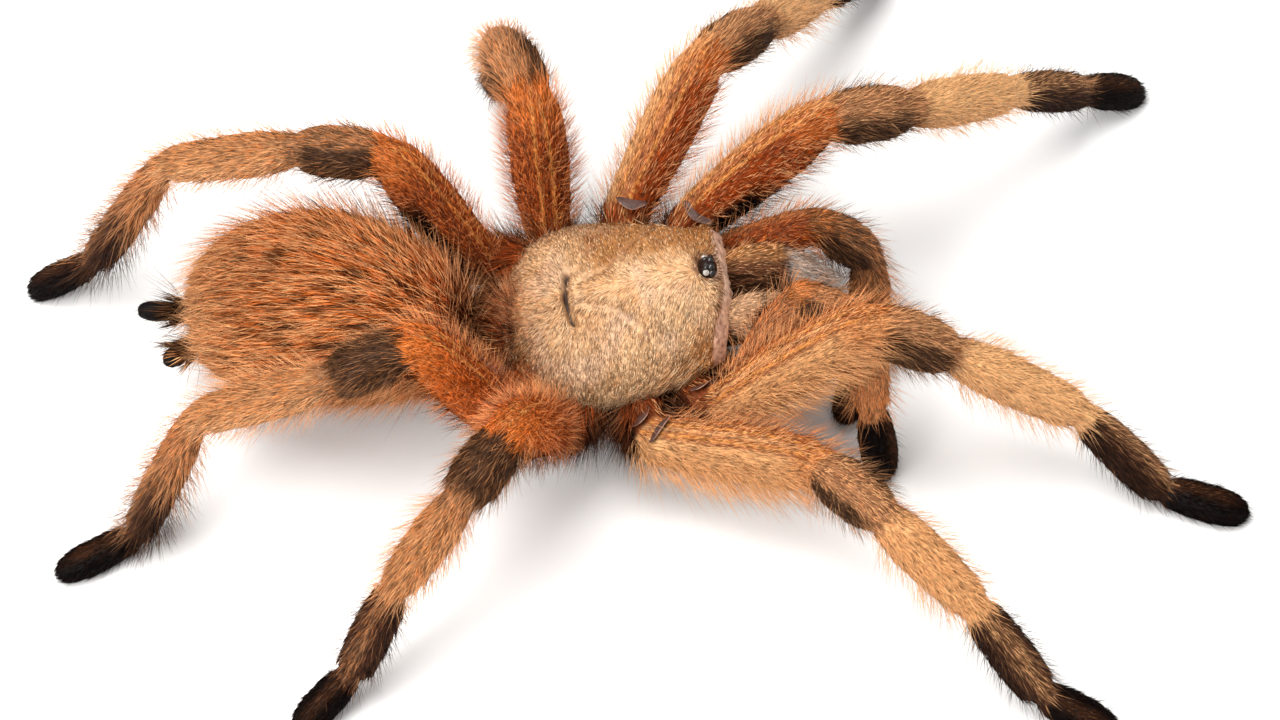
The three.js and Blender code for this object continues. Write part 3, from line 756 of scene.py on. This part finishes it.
COLUMNS, ROWS = 140, 150
bm = bmesh.new()
bmesh.ops.create_grid(bm, x_segments=COLUMNS, y_segments=ROWS, size=1.0)
bm.verts.ensure_lookup_table()
flat = np.array([vert.co for vert in bm.verts])
y = (SHELL[0][0] + SHELL[-1][0]) / 2 + flat[:, 1] * (SHELL[-1][0] - SHELL[0][0]) / 2 * 0.995
angle = flat[:, 0] * math.pi / 2
x = (between(SHELL, y, 1) - SHELL_COAT) * np.sin(angle)
x = x + 0.7 * ramp(-6, -9, y) * ramp(2, 5, x)
crown = between(SHELL, y, 2) - SHELL_COAT
z = crown * np.cos(angle) ** np.where(x > 0, 0.92 - 0.16 * ramp(0, -6, y), 0.92)
depth, dark = hollows(x, y)
head = ramp(-1.3, 1.3, line_gap(abs(x), y, GROOVES[0][:-2]) *
            np.where(abs(x) < np.interp(y, (-6, -4.1, -2.4, 0.2, 3), (7, 6.3, 4.6, 1.9, 0.9)), 1, -1))
z = z - depth * np.cos(angle) ** 0.3 + 0.2 * head * np.cos(angle)
ripple = wander(np.stack([x, y, z], 1) * MM, 1.6, 2.0)
z = z + 0.05 * ripple * np.cos(angle) ** 0.5
y = y + ramp(-5, -9.5, y) * front_slant(x)
rag = ramp(-8.9, -9.9, y)
edge = np.stack([x, x * 0, x * 0], 1) * MM
y = y + rag * (0.25 * wander(edge, 0.5, 5.0) + 0.4 * wander(edge, 1.7, 2.5))
z = z + rag * 0.3
for vert, place in zip(bm.verts, np.stack([x, y, z], 1)):
    vert.co = body(*place)
shell_map = bm.loops.layers.uv.new("sheet")
for face in bm.faces:
    for loop in face.loops:
        spread = flat[loop.vert.index]
        loop[shell_map].uv = ((spread[0] + 1) / 2, (spread[1] + 1) / 2)
rim = [edge for edge in bm.edges if edge.is_boundary]
for shrink in (1.0, 0.965, 0.8):          # straight down at the margin, then in under the shell
    grown = bmesh.ops.extrude_edge_only(bm, edges=rim)["geom"]
    rim = [item for item in grown if isinstance(item, bmesh.types.BMEdge)]
    for vert in [item for item in grown if isinstance(item, bmesh.types.BMVert)]:
        vert.co.x = ground.x + (vert.co.x - ground.x) * shrink
        vert.co.y = ground.y + (vert.co.y - ground.y) * shrink
        vert.co.z = (RIDE_HEIGHT - SKIRT) * MM if shrink < 1 else vert.co.z - LIP * MM
bmesh.ops.holes_fill(bm, edges=rim, sides=0)
bmesh.ops.triangulate(bm, faces=[face for face in bm.faces if len(face.verts) > 4])
bmesh.ops.recalc_face_normals(bm, faces=bm.faces)
mesh = bpy.data.meshes.new("carapace_shell")
bm.to_mesh(mesh)
bm.free()
mesh.shade_smooth()
shell = show("carapace_shell", mesh)

BLONDE, HONEY, FLANK_SHADE_BRONZE = tone(236, 192, 146), tone(208, 144, 84), tone(176, 104, 44)


def shell_tint(x, y, points):
    """The colour of the carapace and its coat at places across and along it, mm."""
    fine, broad = wander(points, 0.5, 1.3), wander(points, 2.2, 4.4)
    colour = mix(BLONDE, HONEY, 0.22 + 0.3 * fine + 0.4 * broad)
    colour = mix(colour, tone(226, 190, 162), ramp(0.0, 0.5, wander(points, 2.6, 9.1)) * 0.5)
    # the left flank of the head is painted darker golden brown, as shade on the side turned from the light;
    # both rear corners are worn down to warm brown
    flank_shade_reach = x + 0.9 * fine + 0.8 * broad - np.interp(y, (-8, -5, -2, 3), (0.7, 1.5, 1.6, 0.6))
    flank_shade = ramp(-0.3, 1.8, flank_shade_reach) * ramp(3.6, 0.6, y + broad)
    worn = ramp(5.5, 8.5, y) * 0.55 + ramp(-4.5, -7.5, y) * ramp(3.5, 5.5, abs(x)) * 0.95
    colour = mix(colour, HONEY, np.clip(worn, 0, 1))
    gold = mix(FLANK_SHADE_BRONZE, tone(214, 150, 80), 0.45 + 0.5 * fine + 0.5 * broad)
    colour = mix(colour, gold * 0.78, np.clip(flank_shade, 0, 1) * 0.9)
    flecks = ramp(0.12, 0.42, wander(points, 0.42, 11.0, (1.0, 0.55, 1.0)))
    speckled = np.exp(-(line_gap(abs(x), y, GROOVES[0][:-2]) / 1.3) ** 2) + 0.5 * ramp(1.0, 4.0, -x)
    colour = mix(colour, UMBER * 0.8, flecks * np.clip(0.2 + speckled * (x < 1), 0, 1) * 0.55)
    ring = np.hypot((x - 0.6) / 1.15, (y + 7.75) / 0.95)
    colour = mix(colour, UMBER, ramp(1.6, 1.0, ring + 0.3 * fine) * 0.85)
    # painted shade in the grooves and the pit, near black in the pit's deepest part
    dark = hollows(x, y)[1]
    colour = mix(colour, UMBER, np.clip(dark * (0.3 + 1.0 * fine), 0, 0.85))
    return mix(colour, SOOT, np.clip(dark - 0.8, 0, 0.35) * 2.4)


shell_points = numbers(mesh.vertices, "co", 3).astype(float)
local = in_body(shell_points)
shell_colour = shell_tint(local[:, 0], local[:, 1], shell_points)
# The shell under its coat is darker, partly its own colour and partly painted shade between the hairs, and
# the pit's deepest part is painted near black, as shade in its crease.
pit = hollows(local[:, 0], local[:, 1])[1]
shell_colour = mix(shell_colour * 0.7, SOOT, np.clip(pit - 0.9, 0, 0.5) * 2)
PINK = tone(244, 208, 184)
bare = local[:, 1] + 9.85 - front_slant(local[:, 0]) + 0.35 * wander(shell_points, 0.8, 8.8)
rosy = mix(PINK, tone(150, 108, 92),
           0.2 + 0.9 * wander(shell_points, 0.35, 6.5, (0.6, 1.6, 1.0)))
shell_colour = mix(shell_colour, rosy, ramp(1.45, 0.95, bare))
# painted shade under the margin: the shell darkens to dusk below its rim
shell_colour = mix(shell_colour, DUSK, ramp(-0.1, -0.4, local[:, 2]))
give_colour(mesh, "tint", shell_colour)

shield, paint = new_material("shield", Roughness=0.5, Specular_IOR_Level=0.4)
pores = paint.cloud(3800.0, 3.0)
shade = pores.shades((0.3, (0.72, 0.68, 0.62)), (0.7, (1.15, 1.13, 1.1)))
feed(shield, Base_Color=paint.stored("tint").tinted(shade), Roughness=0.38 + pores * 0.3,
     Normal=pores.relief(0.5, 0.00008))
mesh.materials.append(shield)
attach(shell, "root")
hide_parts("carapace")

# ======================================================================================
# The eye mound and the eyes. A low black knob near the front of the head, with four wet
# lenses on each side of it, sunk in it by more than half: three black and one pearly.
mound_middle = body(0.4, -7.85, 5.4)


def add_piece(name, bm, material, slot_name, *nodes):
    """A new piece from a bmesh, riding on the body and standing for CAD nodes."""
    bmesh.ops.recalc_face_normals(bm, faces=bm.faces)
    mesh = bpy.data.meshes.new(name)
    bm.to_mesh(mesh)
    bm.free()
    mesh.shade_smooth()
    mesh.materials.append(material)
    piece = show(name, mesh)
    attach(piece, "root")
    if nodes:
        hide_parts(*nodes)
    return piece


knob, paint = new_material("eye_mound", Roughness=0.28, Specular_IOR_Level=0.15)
pores = paint.cloud(5200.0)
feed(knob, Base_Color=pores.shades((0.3, BLACK * 0.5), (0.75, SOOT)), Roughness=0.2 + pores * 0.2,
     Normal=pores.relief(0.4, 0.00005))
MOUND_SIZE = (1.05, 0.85, 0.93)            # across, along and up, mm
LENS_SWELL, LENS_DEPTH = 1.2, 0.45         # wider than its solid; share of the radius sunk
bm = bmesh.new()
ball(bm, mound_middle, [size * MM for size in MOUND_SIZE], 48, 32)
add_piece("eye_mound", bm, knob, "carapace")

lens_black, paint = new_material("eye_lens", Roughness=0.05, Specular_IOR_Level=0.6)
cloud = paint.cloud(3000.0)
feed(lens_black, Base_Color=cloud.shades((0.3, (0.004, 0.004, 0.005)), (0.8, (0.02, 0.016, 0.014))),
     Roughness=0.04 + cloud * 0.04)
lens_pearl, paint = new_material("eye_lens_pearl", Roughness=0.1, Specular_IOR_Level=0.6)
cloud = paint.cloud(4000.0)
feed(lens_pearl, Base_Color=cloud.shades((0.3, (0.18, 0.15, 0.13)), (0.7, (0.62, 0.58, 0.54))),
     Roughness=0.08 + cloud * 0.08)
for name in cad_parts:
    if name.startswith("eye_"):
        low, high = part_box(name)
        size = (high - low).x / 2 * LENS_SWELL
        out = ((low + high) / 2 - mound_middle).normalized()
        edge = Vector((MOUND_SIZE[0] * out.x, MOUND_SIZE[1] * out.y, MOUND_SIZE[2] * out.z)) * MM
        bm = bmesh.new()
        ball(bm, mound_middle + edge - out * size * LENS_DEPTH, (size, size, size), 28, 20)
        add_piece(name.replace("eye_", "lens_"), bm, lens_pearl if "rear_side" in name else lens_black,
                  "eye", name)

# ======================================================================================
# The fangs. Two curved hollow claws of black horn with reddish roots, folded back under
# the jaws as the animal carries them.
FANG = ((1.95, -17.5, -2.5, 0.8, 0.8), (1.93, -17.6, -3.2, 0.76, 0.76), (1.9, -17.3, -4.0, 0.68, 0.68),
        (1.87, -16.9, -4.5, 0.62, 0.62), (1.85, -16.2, -4.85, 0.55, 0.55), (1.82, -15.5, -5.0, 0.47, 0.47),
        (1.8, -14.7, -5.0, 0.38, 0.38), (1.77, -13.9, -4.85, 0.28, 0.28), (1.75, -13.3, -4.65, 0.16, 0.16),
        (1.75, -12.95, -4.5, 0.05, 0.05))
horn, paint = new_material("horn", Roughness=0.2, Coat_Weight=0.5, Coat_Roughness=0.1)
rings = paint.cloud(1500.0, 3.0)
feed(horn, Base_Color=rings.shades((0.35, BLACK * 0.6), (0.8, tone(74, 34, 22))),
     Roughness=0.16 + rings * 0.14, Normal=rings.relief(0.15, 0.00005))
for side, mark in ((1, "L"), (-1, "R")):
    bm = bmesh.new()
    loft(bm, bent_rings([(side * x, *rest) for x, *rest in FANG], 0.0), sides=28)
    add_piece(f"horn_fang_{mark}", bm, horn, "fang", f"fang_{mark}")

# ======================================================================================
# The hip plates. Small bare leaves of grey-mauve hide with a pale lip, that stand over the
# joints where the legs leave the body and lie on the skin there.
HIP_PLATES = {"plate_L1": ((9.9, -7.9, 1.0), (7.8, -9.1, 1.0), 0.62),
              "plate_L2": ((11.2, -1.3, 1.0), (10.1, -3.9, 1.0), 0.6),
              "plate_R1": ((-8.1, -4.9, 0.6), (-7.0, -7.5, 0.9), 0.5),
              "plate_R2_rear": ((-11.2, 0.2, 0.4), (-9.2, -1.9, 0.9), 0.55),
              "plate_R2_front": ((-12.6, -1.8, -0.4), (-10.3, -3.3, 1.0), 0.58)}
plate_points = []
for name, (start, end, half_width) in HIP_PLATES.items():
    bm = bmesh.new()
    verts = ball(bm, Vector((0, 0, 0)), (1, 1, 1), 32, 20)
    start, end = body(*start), body(*end)
    leaf_lips = []
    for vert in verts:
        share, side, rise = vert.co
        share, edge = (1 + share) / 2, side / max(math.hypot(side, rise), 1e-6)
        across = (end - start).cross(Vector((0, 0, 1))).normalized()
        guess = start.lerp(end, share) + across * edge * half_width * MM * math.sin(math.pi * share) ** 0.6
        guess += across * 0.3 * MM * math.sin(math.pi * share)
        _, place, normal, _ = skin.closest_point_on_mesh(guess)
        lip = 0.3 + 0.25 * max(edge, 0.0) - 0.45 * max(-edge, 0.0)
        vert.co = place + normal * MM * (lip + 0.1 * rise * math.sin(math.pi * share))
        leaf_lips.append(edge)
        plate_points.append(place)
    leaf = add_piece(name, bm, shield, "fur")
    mauve = mix(MAUVE * 0.6, tone(176, 136, 116), ramp(0.8, 1.0, np.array(leaf_lips)))
    give_colour(leaf.data, "tint", mauve)
plate_places = kdtree.KDTree(len(plate_points))
for i, place in enumerate(plate_points):
    plate_places.insert(place, i)
plate_places.balance()

# ======================================================================================
# The coat. Every hair is a closed spindle with its root in the skin. Hairs lie outward
# along the limbs and back along the abdomen, a few together drawn into a tuft.
hair, paint = new_material("hair", Roughness=0.5, Specular_IOR_Level=0.03)
dapple = paint.cloud(1800.0)
shade = dapple.shades((0.3, (0.86, 0.84, 0.82)), (0.7, (1.1, 1.1, 1.1)))
feed(hair, Base_Color=paint.stored("tint").tinted(shade), Roughness=0.45 + dapple * 0.2)
rng = np.random.default_rng(20)
BELLY = 0.34                   # where a hair is widest, as a share of its length
HAIR_SHAPE = np.array([(0, 2, 1), (0, 3, 2), (0, 1, 3), (1, 2, 4), (2, 3, 4), (3, 1, 4)])
PATCH = 0.0015                 # half the size of a hair's patch on the unwrap
ROOT_DEPTH, FLOOR_GAP = 0.05, 0.02         # of the roots in the skin, and of hair off the floor, mm
LOOSE_WIDTH, PLATE_GAP = 0.035, 0.35       # of a loose hair, and of roots off a hip plate, mm


def unit(vectors):
    return vectors / np.maximum(np.linalg.norm(vectors, axis=1, keepdims=True), 1e-12)


def tuft_pull(roots, tips, count, pull):
    """Draws the tips of neighbouring hairs towards that of one hair among them."""
    chosen = rng.choice(len(roots), max(1, len(roots) // count), replace=False)
    tree = kdtree.KDTree(len(chosen))
    for i in chosen:
        tree.insert(roots[i], int(i))
    tree.balance()
    leader = np.array([tree.find(root)[1] for root in roots])
    return (tips[leader] - tips) * pull


def grow(name, roots, normals, lies, length, lift, width, tints, spread,
         bend=0.6, tuft=8, pull=0.35, root_shade=0.5):
    """Joins one spindle for each root into a piece, and maps each to a patch of the skin."""
    count = len(roots)
    lies = unit(lies - (lies * normals).sum(1, keepdims=True) * normals)
    beside = np.cross(lies, normals)
    lift = np.radians(lift)[:, None]
    slack = lift * (1 - bend)
    rise = lies * np.cos(lift) + normals * np.sin(lift)
    trail = lies * np.cos(slack) + normals * np.sin(slack)
    length = length[:, None]
    base = roots - normals * ROOT_DEPTH * MM
    knot = base + rise * length * BELLY
    tips = knot + trail * length * (1 - BELLY)
    drawn = tuft_pull(roots, tips, tuft, pull)
    tips = tips + drawn
    knot = knot + drawn * 0.25
    half = width[:, None] / 2
    over = unit(np.cross(beside, tips - base))
    corners = [base] + [knot + (beside * math.cos(a) + over * math.sin(a)) * half
                        for a in (0.0, math.tau / 3, 2 * math.tau / 3)]
    corners.append(tips)
    per_hair = len(corners)
    places = np.stack(corners, 1)
    places[..., 2] = np.maximum(places[..., 2], FLOOR_GAP * MM)
    triangles = (HAIR_SHAPE[None] + np.arange(count)[:, None, None] * per_hair).reshape(-1)
    mesh = bpy.data.meshes.new(name)
    mesh.vertices.add(count * per_hair)
    mesh.vertices.foreach_set("co", places.astype(np.float32).ravel())
    mesh.loops.add(len(triangles))
    mesh.loops.foreach_set("vertex_index", triangles.astype(np.int32))
    mesh.polygons.add(len(triangles) // 3)
    mesh.polygons.foreach_set("loop_start", np.arange(0, len(triangles), 3, dtype=np.int32))
    mesh.update(calc_edges=True)
    # one small patch for each hair: root below, tip above, ring across
    low = -PATCH * 0.3
    patch = np.array([(0.0, -PATCH), (-PATCH, low), (PATCH, low), (0.0, low + PATCH * 0.35), (0.0, PATCH)])
    spread = np.clip(spread, PATCH, 1 - PATCH)
    uvs = (spread[:, None] + patch[None]).reshape(-1, 2)[triangles]
    layer = mesh.uv_layers.new(name="OFBake")
    layer.data.foreach_set("uv", uvs.astype(np.float32).ravel())
    # Each hair is painted in shade towards its root and lighter at its tip: the tip is paler, with painted
    # glow of light through the hair.
    fade = np.array([root_shade, 0.95, 0.95, 0.95, 1.25])
    shades = (tints[:, None] * fade[None, :, None]).reshape(-1, 3)
    give_colour(mesh, "tint", shades / np.maximum(shades.max(1, keepdims=True) / 0.97, 1))
    mesh.shade_smooth()
    mesh.validate()
    mesh.materials.append(hair)
    piece = show(name, mesh)
    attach(piece, "root")
    return piece


def scatter(points, normals, triangles, density, count):
    """Root places over triangles, more of them where the density is higher."""
    corners = points[triangles]
    area = np.linalg.norm(np.cross(corners[:, 1] - corners[:, 0], corners[:, 2] - corners[:, 0]), axis=1)
    chance = np.cumsum(area * density)
    picked = np.searchsorted(chance, (np.arange(count) + rng.random(count)) / count * chance[-1])
    picked = np.clip(picked, 0, len(triangles) - 1)
    a, b = np.sqrt(rng.random(count)), rng.random(count)
    weights = np.stack([1 - a, a * (1 - b), a * b], 1)[..., None]
    return (corners[picked] * weights).sum(1), unit((normals[triangles[picked]] * weights).sum(1))


def varied(tints, pale, shaded=0.36):
    """Colours that differ from hair to hair: most a little, some much paler or darker."""
    count = len(tints)
    tints = tints * np.exp(rng.normal(0, 0.3, count))[:, None]
    lucky = rng.random(count)
    blonde = ramp(0.02, 0.3, tints[:, 0])
    tints = mix(tints, pale, (lucky < 0.24) * 0.6 * blonde)
    return tints * np.where(lucky > 0.74, shaded, 1.0)[:, None]


skin_normals = numbers(melted.vertices, "normal", 3).astype(float)
melted.calc_loop_triangles()
skin_triangles = numbers(melted.loop_triangles, "vertices", 3, np.int32)
corner_cores = skin_spots.core[skin_triangles]
triangle_part, triangle_label = parts[corner_cores[:, 0]], labels[corner_cores[:, 0]]

# Hair for each kind of segment: length and width in mm, lift in degrees, relative number;
# then the share of loose hairs that stand out, with their length and lift
HAIR = {"coxa": (1.3, 0.075, 32, 1.0, 0.5, 2.8, 52), "trochanter": (1.2, 0.075, 26, 1.1, 0.45, 2.8, 52),
        "femur": (0.9, 0.066, 15, 1.0, 0.3, 2.5, 52), "patella": (1.0, 0.066, 17, 1.0, 0.24, 2.0, 46),
        "tibia": (0.9, 0.066, 16, 1.0, 0.3, 2.5, 52), "metatarsus": (0.95, 0.068, 24, 1.2, 0.16, 1.8, 50),
        "tarsus": (0.7, 0.066, 26, 1.6, 0.08, 1.1, 44), "sternum": (0.7, 0.08, 25, 0.7, 0.3, 1.2, 45),
        "pedicel": (2.2, 0.08, 50, 14.0, 0.6, 3.4, 66), "abdomen": (2.3, 0.075, 10, 1.0, 0.2, 3.0, 34),
        "chelicera": (0.8, 0.075, 17, 1.0, 0.1, 1.3, 40), "spinneret": (0.35, 0.055, 12, 1.0, 0.02, 0.7, 30)}
SEGMENT_ROWS = ["coxa", "trochanter", "femur", "patella", "tibia", "metatarsus", "tarsus"]


def unwrap(spots):
    """Each spot's place on an unwrap of its part: along and round each segment in rows."""
    row = np.array([SEGMENT_ROWS.index(label) if label in SEGMENT_ROWS else 0 for label in spots.label])
    rows = len(SEGMENT_ROWS) if spots.label[0] in SEGMENT_ROWS else 1
    if rows == 1:
        core_row = spots.core - spots.core.min()
        along = (core_row + spots.share) / (core_row.max() + 1)
    else:
        along = spots.share
    return np.stack([along * 0.99 + 0.005, (row + 0.01 + 0.98 * (spots.turn / math.tau + 0.5)) / rows], 1)


def coat(name, mask, count, pale, tuft=5, pull=0.18, heading=None, table=HAIR):
    """The coat over the triangles of the skin that a mask picks, dense and loose hairs both."""
    triangles = skin_triangles[mask]
    density = np.array([table[label][3] for label in triangle_label[mask]])
    roots, normals = scatter(skin_points, skin_normals, triangles, density, count)
    spots = Spots(roots)
    keep = np.array([plate_places.find(root)[2] for root in roots]) > PLATE_GAP * MM
    roots, normals, spots = roots[keep], normals[keep], spots.pick(keep)
    count = len(roots)
    length, width, lift, _, share, loose_length, loose_lift = np.array(
        [table[label] for label in spots.label]).T
    on_hip = (spots.label == "trochanter") | (spots.label == "coxa")
    fringed = (spots.label == "femur") & (spots.turn > 0.9) & np.isin(spots.part, ("leg_R1", "leg_R2"))
    share, loose_length = np.where(fringed, 0.55, share), np.where(fringed, 3.4, loose_length)
    frosted = (spots.part == "chelicera_L") & (spots.points[:, 1] < body(0, -14.6, 0).y)
    share, loose_length = np.where(frosted, 0.6, share), np.where(frosted, 2.6, loose_length)
    share = np.where(spots.part == "palp_R", 0.5 * share, share)
    hind = (spots.label == "metatarsus") & np.isin(spots.part, ("leg_L4", "leg_R4"))
    share, loose_length = np.where(hind, 0.3, share), np.where(hind, 3.0, loose_length)
    loose_length = loose_length * (1 + 0.5 * ramp(0.3, 0.9, normals[:, 0]) * (spots.label == "abdomen"))
    loose = (rng.random(count) < share) & ~(on_hip & (abs(spots.turn) < 0.8))
    facing = ramp(0.35, -0.5, normals[:, 1]) * (spots.label == "abdomen")
    loose_lift, loose_length = loose_lift + 22 * facing, loose_length * (1 + 0.15 * facing)
    lift = lift + 20 * facing
    length = np.where(loose, loose_length, length) * np.clip(rng.normal(1, 0.22, count), 0.5, 1.6)
    lift = np.where(loose, loose_lift, lift) * rng.uniform(0.65, 1.3, count)
    width = np.where(loose, LOOSE_WIDTH, width)
    lies = unit(spots.lie if heading is None else heading(spots))
    lies = lies + rng.normal(0, 0.13, (count, 3)) * np.where(loose, 2.0, 1.0)[:, None]
    tints = varied(markings(spots), pale, np.where(lit_thin(spots), 0.7, 0.36)) * 1.25
    tints = mix(tints, LOOSE, loose * 0.37 * ramp(0.012, 0.2, tints[:, 0]))
    return grow(name, roots, normals, lies, length * MM, lift, width * MM, tints,
                unwrap(spots), bend=np.where(loose, 0.25, 0.6)[:, None], tuft=tuft,
                pull=np.where(loose, 0.0, pull)[:, None])


LOOSE = tone(250, 184, 132)
LEG_HAIRS, PALP_HAIRS, ABDOMEN_HAIRS, SHELL_HAIRS = 18200, 9000, 32000, 32000
for name in STANCES:
    coat(f"coat_{name}", triangle_part == name,
         LEG_HAIRS if name.startswith("leg") else PALP_HAIRS, PEACH if name[-1] in "12" else ORANGE)


def backward(spots):
    """The hair of the abdomen sweeps back, and down a little at the sides."""
    lies = unit(spots.lie)
    lies[:, 2] -= 0.12
    return lies


coat("coat_abdomen", triangle_part == "abdomen", ABDOMEN_HAIRS, PEACH, tuft=6, pull=0.25,
     heading=backward)
coat("coat_jaws", np.char.startswith(triangle_part, "chelicera"), 7000, SAND)
coat("coat_underside", (triangle_part == "sternum") | (triangle_part == "pedicel"), 5800, RUST)


def into_waist(spots):
    """The hair round the waist sweeps back and in over the gap before the abdomen."""
    lies = np.zeros((len(spots.points), 3))
    lies[:, 0] = -0.5 * np.sign(spots.points[:, 0] - ground.x)
    lies[:, 1], lies[:, 2] = 1.0, 0.3
    return lies


skin_middles = in_body(skin_points[skin_triangles].mean(1))
at_waist = (skin_middles[:, 1] > 5.0) & (skin_middles[:, 1] < 11) & (skin_middles[:, 2] > -2.6) & np.isin(
    triangle_label, ("coxa", "trochanter", "pedicel", "sternum")) & (abs(skin_middles[:, 0]) < 9)
# longer hair round the waist and under the hips
LONG_HAIR = {**HAIR, **dict.fromkeys(("coxa", "trochanter", "sternum", "pedicel"),
                                     (2.8, 0.06, 36, 1.0, 0.4, 3.6, 55))}
coat("coat_waist", at_waist, 4200, RUST, heading=into_waist, table=LONG_HAIR)


def off_hips(spots):
    """The black hair under the hips hangs out and down."""
    lies = spots.points - np.array(body(0, 0, 0))
    lies[:, 2] = -0.35 * np.hypot(lies[:, 0], lies[:, 1])
    return lies


at_hips = np.char.startswith(triangle_part, "leg_R") & np.isin(triangle_label, ("coxa", "trochanter")) & (
    skin_middles[:, 0] < -7.5) & (abs(skin_middles[:, 1] - 1.6) < 3.2) & (skin_middles[:, 2] < 0.2)
coat("coat_hips", at_hips, 1500, BLACK, heading=off_hips, table=LONG_HAIR)
coat("coat_spinnerets", np.char.startswith(triangle_part, "spinneret"), 2500, DUSK)

# ======================================================================================
# The coat of the carapace. Short blonde hair that lies flat and runs out from the crest
# and the pit to the margin, thin on the left flank of the head, and longest along the margin.
mesh = shell.data
shell_normals = numbers(mesh.vertices, "normal", 3).astype(float)
mesh.calc_loop_triangles()
shell_triangles = numbers(mesh.loop_triangles, "vertices", 3, np.int32)
# The margin's faces are numbered differently each time they are drawn out, so its triangles
# are put in a fixed order before hair is dealt to them, each from its lowest corner
on_sheet = shell_triangles.max(1) < len(flat)
margin_triangles = shell_triangles[~on_sheet]
turned = (np.arange(3) + margin_triangles.argmin(1)[:, None]) % 3
margin_triangles = np.take_along_axis(margin_triangles, turned, 1)
margin_triangles = margin_triangles[np.lexsort(margin_triangles.T[::-1])]
shell_triangles = np.concatenate([shell_triangles[on_sheet], margin_triangles])
middles = local[shell_triangles].mean(1)
haired = (middles[:, 2] > 0.15) & (middles[:, 1] > -8.8 + front_slant(middles[:, 0])) & (
    np.hypot((middles[:, 0] - 0.4) / 1.0, (middles[:, 1] + 7.85) / 0.85) > 0.95)


def near_margin(x, y):
    """How close places on the shell are to its side and rear margins, 0 to 1."""
    return np.maximum(ramp(0.84, 0.97, abs(x) / between(SHELL, y, 1)), ramp(8.2, 9.3, y))


roots, normals = scatter(shell_points, shell_normals, shell_triangles[haired],
                         1 + near_margin(middles[:, 0], middles[:, 1])[haired], SHELL_HAIRS)
place = in_body(roots)
x, y = place[:, 0], place[:, 1]
thin = ramp(0.6, 2.0, x) * ramp(3.0, 0.5, y) * 0.55
furrow = np.maximum(hollows(x, y)[1], hollows(x, y + 0.35)[1])     # bare up to its front lip
keep = rng.random(len(x)) > np.maximum(thin, np.clip(furrow - 0.6, 0, 0.35) * 2.7)
roots, normals, x, y = roots[keep], normals[keep], x[keep], y[keep]
crest = np.clip(y, -6.2, 3.4)
lies = np.stack([x * 0.9, (y - crest) * 1.2 + 0.7 * (y < 3.4), np.zeros(len(x))], 1)
lies = unit(lies) + rng.normal(0, 0.16, (len(x), 3))
lies[:, 0] += 0.35 * wander(roots, 1.1, 3.3)
margin = near_margin(x, y) * rng.random(len(x))
tints = varied(shell_tint(x, y, roots), tone(255, 228, 188), 0.42) * 1.04
grow("coat_carapace", roots, normals, lies,
     rng.uniform(0.5, 0.95, len(x)) * (1 + 1.4 * margin) * MM, rng.uniform(4, 16, len(x)) + 26 * margin,
     (0.072 - 0.027 * margin) * MM, tints,
     np.stack([x / 18 + 0.5, y / 20 + 0.5], 1), tuft=5, pull=0.25, root_shade=0.8)
